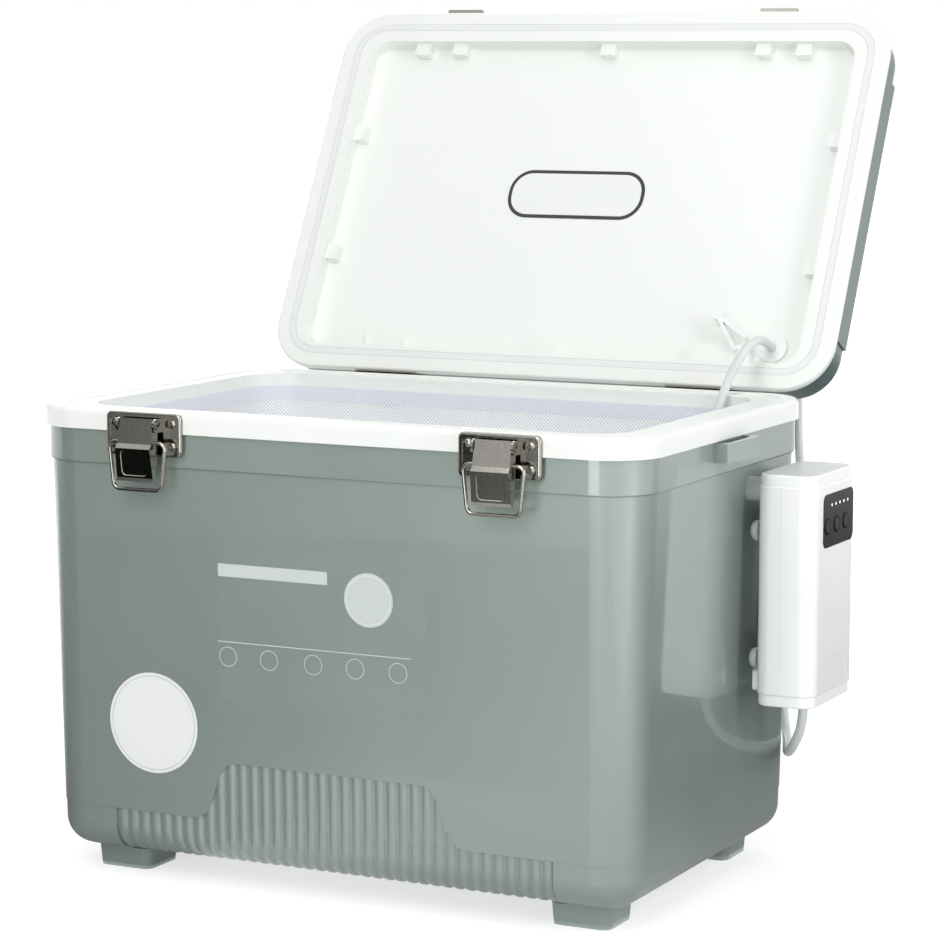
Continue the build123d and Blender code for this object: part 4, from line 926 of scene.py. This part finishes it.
floor_surface.link(choice.outputs[0], floor_output.inputs["Surface"])


def lamp_panel(name, place, target, size, power):
    """Rectangular soft lamp at place that faces target."""
    data = bpy.data.lights.new(name, "AREA")
    data.shape = "RECTANGLE"
    data.size, data.size_y = size
    data.energy = power
    panel = bpy.data.objects.new(name, data)
    panel.location = place
    panel.rotation_euler = (Vector(target) - Vector(place)).to_track_quat("-Z", "Y").to_euler()
    bpy.context.scene.collection.objects.link(panel)


lamp_panel("back_lamp", (-1.2, 1.6, 1.3), (0, 0, 0.25), (1.4, 1.0), 14)
lamp_panel("top_lamp", (0.1, -0.3, 2.2), (0, 0, 0.2), (2.2, 1.6), 8)
lamp_panel("front_lamp", (0.25, -1.6, 1.7), (0, 0, 0.3), (1.4, 0.9), 9.5)
lamp_panel("key_lamp", (-0.02, -1.5, 0.7), (0.05, 0, 0.3), (0.45, 1.4), 7)
lamp_panel("right_lamp", (1.7, -0.5, 0.8), (0.2, 0, 0.2), (0.3, 1.4), 10)
lamp_panel("end_lamp", (1.9, 0.9, 1.0), (0.2, 0, 0.25), (1.0, 1.2), 7)

CARD_EDGE = 0.6  # where a card's soft edge starts, as a share of its half size
CARD_DARK, CARD_LIGHT = (0.012, 0.013, 0.012, 1), (0.9, 0.9, 0.9, 1)


def dark_card(name, corners, across, axis, dark, light):
    """Soft-edged card that only mirrored light meets.

    It fades along an axis from a dark place to a light one; across are the card's own two axes.
    """
    made = bmesh.new()
    made.faces.new([made.verts.new(corner) for corner in corners])
    surface = Surface(name)
    fade = surface.remap(surface.axes(surface.coordinates)[axis], 0.0, 1.0, dark, light)
    shares = surface.axes(surface.node("ShaderNodeTexCoord").outputs["Generated"])
    for own_axis in across:
        from_middle = surface.calculate("MULTIPLY_ADD", shares[own_axis], 2.0, -1.0)
        distance = surface.calculate("ABSOLUTE", from_middle)
        edge = surface.remap(distance, 0.0, 1.0, CARD_EDGE, 1.0)
        fade = surface.calculate("MAXIMUM", fade, edge)
    shine = surface.node("ShaderNodeEmission")
    surface.link(surface.ramp(fade, [(0.0, CARD_DARK), (1.0, CARD_LIGHT)]), shine.inputs["Color"])
    surface.link(shine.outputs[0], surface.tree.nodes["Material Output"].inputs["Surface"])
    card = mesh_object(name, made, surface.material, smooth=False)
    card.visible_camera = False
    card.visible_diffuse = False
    card.visible_shadow = False
    card.visible_transmission = False


def upright_card(name, left, right, low, high, dark, light):
    """Dark card that stands between two places on the floor plan and fades along X."""
    corners = [(*left, low), (*right, low), (*right, high), (*left, high)]
    dark_card(name, corners, "XZ", "X", dark, light)


def floor_card(name, low, high, lift, axis, dark, light):
    """Dark card that lies just over the floor between two corners."""
    plan = [(low[0], low[1]), (high[0], low[1]), (high[0], high[1]), (low[0], high[1])]
    dark_card(name, [(x, y, lift) for x, y in plan], "XY", axis, dark, light)


upright_card("dark_card_upright", (-2.2, -0.85), (-0.3, -1.2), -0.6, 1.5, -0.95, -0.38)
upright_card("dark_card_latches", (-0.85, -1.15), (-0.26, -1.15), 0.07, 0.28, 0.0, 1.0)
floor_card("dark_card_front", (-2.2, -1.5), (0.7, 0.25), 0.002, "X", -0.34, 0.34)
floor_card("dark_card_right", (-0.1, -0.4), (1.9, 2.6), 0.003, "Y", 0.9, 2.0)

world = bpy.data.worlds.new("studio")
world.use_nodes = True
bpy.context.scene.world = world
world_nodes, world_links = world.node_tree.nodes, world.node_tree.links
backdrop = world_nodes["Background"]
backdrop.inputs["Color"].default_value = WHITE
backdrop.inputs["Strength"].default_value = 1.0
fill = world_nodes.new("ShaderNodeBackground")
fill.inputs["Color"].default_value = WHITE
fill.inputs["Strength"].default_value = FILL
world_mix = world_nodes.new("ShaderNodeMixShader")
world_links.new(background_rays(world.node_tree), world_mix.inputs[0])
world_links.new(fill.outputs[0], world_mix.inputs[1])
world_links.new(backdrop.outputs[0], world_mix.inputs[2])
world_links.new(world_mix.outputs[0], world_nodes["World Output"].inputs["Surface"])

bpy.context.scene.view_settings.view_transform = "Standard"
